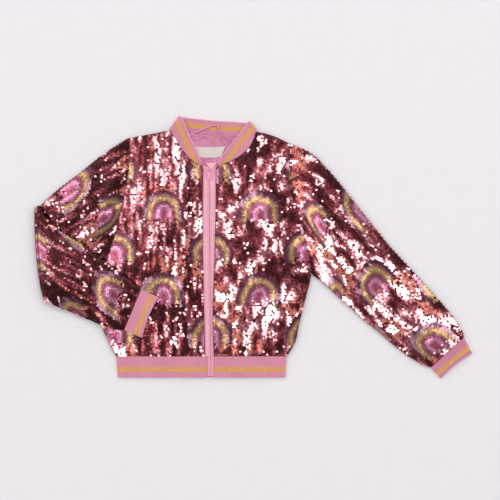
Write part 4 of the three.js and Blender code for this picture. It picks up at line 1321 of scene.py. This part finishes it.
grids, attributes = collar_grids()
# The collar's free edge gets a painted highlight.
collar_knit = rib_material("rib_collar", stripe(0.0112), RIB_PINK, RIB_DEEP, 0.7)
soft("knit_collar", "collar", grids, collar_knit, "rib_knit", attributes)


# The hem band.
def hem_path():
    """The band's way round: outer and inner x, outer and inner z, and 1 on the front."""
    ends = {"right": ZIP_IN_BAND["right"] - GAP, "left": ZIP_IN_BAND["left"] + GAP}
    sides = {"right": FRONT_RIGHT[0][2], "left": FRONT_LEFT[0][2]}

    def top_run(start, stop):
        reach = abs(stop - start) - HALF_TUBE
        run = []
        for share in np.linspace(0, 1, int(reach / 0.5) + 1):
            x = start + np.sign(stop - start) * reach * share
            under = lerp(ZIP_UNDER, SIDE_UNDER, share)
            run.append((x, x, under + CLOTH, under, 1.0))
        return run

    def side_turn(side, centre):
        run = []
        for angle in HALF_TURN:
            away, rise = side * math.sin(angle), math.cos(angle)
            small = HALF_TUBE - CLOTH
            run.append((centre + HALF_TUBE * away, centre + small * away,
                        HALF_TUBE + HALF_TUBE * rise, HALF_TUBE + small * rise, 0.0))
        return run
    right = sides["right"] + HALF_TUBE
    left = sides["left"] - HALF_TUBE
    back = [(x, x, 0.0, CLOTH, 0.0) for x in np.linspace(right, left, 121)]
    return np.array([*top_run(ends["right"], sides["right"]), *side_turn(-1, right), *back,
                     *side_turn(1, left)[::-1], *top_run(ends["left"], sides["left"])[::-1]])


def hem_grids(levels=12):
    """The hem band's ribbed outside and inside, and the band places over it."""
    path = hem_path()
    x, x_in, z, z_in, front_side = path.T
    step = np.hypot(np.diff(x), np.diff(z))
    goals = np.concatenate([[0], np.cumsum(step)])
    rib = front_side * rib_height(goals)
    t = np.linspace(0, 1, levels + 1)
    y = lerp(HEM_TOP, HEM_BOTTOM, t)
    size = lerp(1, HEM_TAPER, t)

    def taper(values):
        return np.where(np.abs(values)[:, None] < 8, values[:, None], values[:, None] * size[None])
    near_zip = smooth((np.abs(x) - 8) / 30)
    belly = front_side[:, None] * (0.3 * np.sin(math.pi * t))[None]
    sway = front_side * near_zip * 0.25 * ripple_noise.at(x / 16, 0 * x + 3)
    shape = (len(x), len(y))
    outer = np.stack([taper(x), np.broadcast_to(y, shape), (z + rib + sway)[:, None] + belly],
                     axis=-1)
    inner = np.stack([taper(x_in), np.broadcast_to(y, shape),
                      np.broadcast_to(z_in[:, None], shape)], axis=-1)
    return (outer, inner), band_places((goals * MM)[:, None], (HEM_TOP - y)[None] * MM, shape)


grids, attributes = hem_grids()
hem_knit = rib_material("rib_hem", stripe(0.0208), RIB_PINK, RIB_DEEP)
soft("knit_hem_band", "hem_band", grids, hem_knit, "rib_knit", attributes)


# Lining, label and hanging loop.
def plain_sheet(columns, rows, plan, under, thickness):
    """The upper and lower grids of a sheet from its plan and the height of its underside."""
    u, v = np.meshgrid(np.linspace(0, 1, columns + 1), np.linspace(0, 1, rows + 1), indexing="ij")
    x, y = plan(u, v)
    bottom = np.stack([x, y, under(x, y)], axis=-1)
    return bottom + np.array([0, 0, thickness]), bottom


def lining_under(x, y):
    return SIDE_UNDER + fold_height(LINING_FOLDS, x, y, LINING_LEAN)


def neck_back(x):
    """The level of the back's neckline."""
    return np.interp(x, [p[0] for p in BACK_TOP], [p[1] for p in BACK_TOP])


def lining_plan(u, v):
    """A trapezoid whose upper edge follows the back of the neck."""
    x = 2 + (2 * u - 1) * lerp(24, 52, v)
    return x, lerp(168, neck_back(x) + 0.2, v)


def lining_bunched(x, y):
    """The lining bunches up a little along the seam of the collar."""
    bunch = 1.3 * np.exp(-((neck_back(x) - y - 1.6) / 1.8) ** 2)
    return lining_under(x, y) + bunch * (1 + 0.5 * ripple_noise.at(x / 7, 0 * x))


soft("lining_cloth", "lining_back", plain_sheet(90, 56, lining_plan, lining_bunched, LINING),
     satin, "lining")

LABEL_CENTRE = -2.3
LABEL_LEVELS = (186.1, 203.7)
LABEL_HALVES = (19.0, 26.0)
LABEL_SAG = 1.1


def label_plan(u, v):
    """A trapezoid whose upper and lower edges sag in the middle."""
    across = 2 * u - 1
    sag = LABEL_SAG * (1 - across * across)
    return LABEL_CENTRE + across * lerp(*LABEL_HALVES, v), lerp(*LABEL_LEVELS, v) - sag


def label_under(x, y):
    return lining_under(x, y) + LINING + LABEL_GAP


label_grids = plain_sheet(36, 14, label_plan, label_under, LABEL)
soft("label_cloth", "neck_label", label_grids, label_weave, "label")


def loop_grids(steps=72):
    """A rounded ribbon that rises from the back of the neck and comes down again."""
    at = by_length(Curve(LOOP_PATH), 0, 1)
    outer, inner = [], []
    for k in range(steps + 1):
        s = k / steps
        aside = left_of(heading(at, s, 0.01))
        middle = at(s)
        rise = LOOP_RISE * math.sin(math.pi * s) ** 0.6
        line_out, line_in = [], []
        for w in np.linspace(-1, 1, 9):
            crown = LOOP * (0.55 + 0.45 * math.sqrt(max(0, 1 - w * w)))
            base = middle * (1, 1, 0) + aside * w * LOOP_WIDTH / 2 + UP * rise
            line_out.append(base + UP * (CLOTH + GAP + crown))
            line_in.append(base + UP * (CLOTH + GAP))
        outer.append(line_out)
        inner.append(line_in)
    return outer, inner


soft("loop_cloth", "hang_loop", loop_grids(), loop_weave, "lining")


# The zip.
def zip_middle(y):
    return lerp(ZIP_BOTTOM[0], ZIP_TOP[0], (y - ZIP_BOTTOM[1]) / (ZIP_TOP[1] - ZIP_BOTTOM[1]))


def tape_grids(panel_edge, side, band_edge):
    """A zip tape along a front's edge and the hem band's, with its bead beside the middle."""
    rows = 2 * ZIP_TOP_ROW * 3
    panel = [panel_edge.at(k / rows * ZIP_TOP_ROW / LEVELS) for k in range(rows, -1, -1)]
    band = [HEM_TOP + GAP / 2, *np.linspace(HEM_TOP - 4, ZIP_BOTTOM[1], 8)]
    edge = np.array([place[0] - side * GAP for place in panel] + [band_edge] * len(band))
    y = np.array([place[1] for place in panel] + band)
    middle = zip_middle(y)
    top = ZIP_UNDER + TAPE
    outer = []
    for s in np.linspace(0, 1, 7):
        reach = lerp(edge, middle + side * BEAD_HALF, s)
        outer.append(np.stack([reach, y, np.full_like(y, top)], axis=-1))
    for angle in np.linspace(0, math.pi, 9):
        w = BEAD_HALF - (BEAD_HALF - GAP / 2) * (1 - math.cos(angle)) / 2
        rise = BEAD_RAISE * math.sin(angle) ** 0.6 if 0 < angle < math.pi else 0
        outer.append(np.stack([middle + side * w, y, np.full_like(y, top + rise)], axis=-1))
    outer = np.array(outer)
    inner = outer * (1, 1, 0) + UP * ZIP_UNDER
    across = np.abs(outer[..., 0] - middle[None]) * MM
    return (outer, inner), band_places(y[None] * MM, across, across.shape)


for hand, pair, side in (("left", left_edges, 1), ("right", right_edges, -1)):
    node = "zip_tape_" + hand
    grids, attributes = tape_grids(pair[0], side, ZIP_IN_BAND[hand])
    soft("weave_" + node, node, grids, tape_weave, "zip_tape", attributes)


def garage_plan(u, v):
    """The triangle of tape ends, narrow at its tip."""
    tip, half = GARAGE["tip"], GARAGE["half"]
    left = lerp(tip[0] - half, GARAGE["left"][0], v)
    right = lerp(tip[0] + half, GARAGE["right"][0], v)
    return lerp(left, right, u), lerp(tip[1], GARAGE["left"][1], v) + 0 * u


top, bottom = plain_sheet(12, 12, garage_plan, lambda x, y: GARAGE["under"] + 0 * x,
                          GARAGE["thick"])
attributes = band_places(top[..., 1] * MM, BESIDE_GROOVE, top.shape[:2])
soft("weave_zip_garage", "zip_garage", (top, bottom), tape_weave, "zip_tape", attributes)

# The joined points and the rounded edges of the two CAD pieces that stay, in metres.
WELD_REACH = 0.00001
EDGE_RADIUS = 0.00022
for node in ("zip_slider", "zip_pull"):
    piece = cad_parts[node]
    piece.data.materials.clear()
    piece.data.materials.append(enamel)
    weld = piece.modifiers.new("weld", "WELD")
    weld.merge_threshold = WELD_REACH
    bevel = piece.modifiers.new("bevel", "BEVEL")
    bevel.width = EDGE_RADIUS
    bevel.segments = 3
    bevel.limit_method = "ANGLE"
    bevel.angle_limit = math.radians(40)


# Stitches.
def stitch_run(path, length=2.2, gap=0.9, radius=0.28):
    """Short rounded stitches along a path."""
    points = np.array(path, float)
    run = lengths_along(points)
    verts, faces = [], []
    d = gap
    while d + length < run[-1]:
        a, b = place_at(d, run, points), place_at(d + length, run, points)
        along = unit(b - a)
        side = unit(np.cross(UP, along))
        high = np.cross(along, side)
        base = len(verts)
        for t, size in ((0, 0.35), (0.18, 0.85), (0.5, 1.0), (0.82, 0.85), (1, 0.35)):
            middle = lerp(a, b, t)
            for k in range(6):
                angle = k * math.pi / 3
                verts.append(middle + radius * size
                             * (side * math.cos(angle) + high * math.sin(angle)))
        for r in range(4):
            for k in range(6):
                k2 = (k + 1) % 6
                faces.append((base + r * 6 + k, base + r * 6 + k2,
                              base + r * 6 + 6 + k2, base + r * 6 + 6 + k))
        faces.append(tuple(base + k for k in range(5, -1, -1)))
        faces.append(tuple(base + 24 + k for k in range(6)))
        d += length + gap
    return verts, faces


def stitches(name, paths, material, slot, **sizes):
    verts, faces = [], []
    for path in paths:
        v, f = stitch_run(path, **sizes)
        base = len(verts)
        verts += v
        faces += [tuple(i + base for i in face) for face in f]
    return make(name, verts, faces, material, slot, sharp=0)


def tape_seam(pair, side):
    """The line of stitches that holds a tape to its front."""
    places = (pair[0].at(k / 59 * (ZIP_TOP_ROW - 0.1) / LEVELS) for k in range(60))
    return [(x - side * (GAP + 1.1), y, ZIP_UNDER + TAPE + 0.1) for x, y, _ in places]


for hand, pair, side in (("left", left_edges, 1), ("right", right_edges, -1)):
    stitches("stitches_zip_" + hand, [tape_seam(pair, side)],
                                             pink_thread, "zip_tape")
label_top = label_grids[0]
label_edges = [row + UP * 0.05 for row in (label_top[2:-2, -2], label_top[2:-2, 1],
                                           label_top[1, 1:-1], label_top[-2, 1:-1])]
stitches("label_stitches", label_edges, cream_thread, "label",
                                   length=1.5, gap=0.8, radius=0.2)


# Floor, light and camera.
FLOOR_HALF = 6
FLOOR_LEVEL = -0.0002
WALLS = 0.85
CEILING = 0.48
CEILING_STARTS = (0.45, 0.68)
mesh = bpy.data.meshes.new("floor")
corners = ((-1, -1), (1, -1), (1, 1), (-1, 1))
mesh.from_pydata([(x * FLOOR_HALF, y * FLOOR_HALF, FLOOR_LEVEL) for x, y in corners], [],
                 [(0, 1, 2, 3)])
floor_nodes = Nodes("floor_paper")
grain = floor_nodes.noise(40, 3.0)
floor_nodes.set(Base_Color=floor_nodes.ramp(grain, (0.3, srgb(236, 233, 236)),
                                            (0.7, srgb(238, 235, 238))), Roughness=0.9)
mesh.materials.append(floor_nodes.material)
add("floor", mesh)

scene = bpy.context.scene
world = bpy.data.worlds.new("studio")
world.use_nodes = True
background = world.node_tree.nodes["Background"]
background.inputs["Color"].default_value = (1.0, 0.99, 1.0, 1)
# The studio's pale walls are brighter than its ceiling.
heading = world.node_tree.nodes.new("ShaderNodeTexCoord")
parts = world.node_tree.nodes.new("ShaderNodeSeparateXYZ")
walls = world.node_tree.nodes.new("ShaderNodeMapRange")
walls.interpolation_type = "SMOOTHSTEP"
for name, value in zip(("From Min", "From Max", "To Min", "To Max"),
                       (*CEILING_STARTS, WALLS, CEILING)):
    walls.inputs[name].default_value = value
world.node_tree.links.new(heading.outputs["Generated"], parts.inputs[0])
world.node_tree.links.new(parts.outputs["Z"], walls.inputs["Value"])
world.node_tree.links.new(walls.outputs["Result"], background.inputs["Strength"])
scene.world = world
scene.view_settings.view_transform = "Standard"


def softbox(name, place, size, radiance):
    """A rectangular light of a given radiance that faces the jacket."""
    data = bpy.data.lights.new(name, "AREA")
    data.shape = "RECTANGLE"
    data.size, data.size_y = size
    data.energy = radiance * math.pi * size[0] * size[1]
    light = add(name, data)
    light.location = place
    light.rotation_euler = (Vector(LIGHT_TARGET) - Vector(place)).to_track_quat("-Z", "Y").to_euler()


LIGHT_TARGET = (0.05, 0.03, 0)
softbox("key", (1.35, 1.6, 3.2), (3.6, 3.3), 1.54)
softbox("fill", (-2.5, 0.3, 3.0), (2.2, 3.8), 1.35)

VIEW_CENTRE = (0.06435, 0.033)
VIEW_SIDE = 0.825
VIEW_HEIGHT = 3.0
SENSOR = 36
camera_data = bpy.data.cameras.new("camera")
camera_data.sensor_width = SENSOR
camera_data.lens = SENSOR * VIEW_HEIGHT / VIEW_SIDE
camera = add("camera", camera_data)
camera.location = (*VIEW_CENTRE, VIEW_HEIGHT)
scene.camera = camera
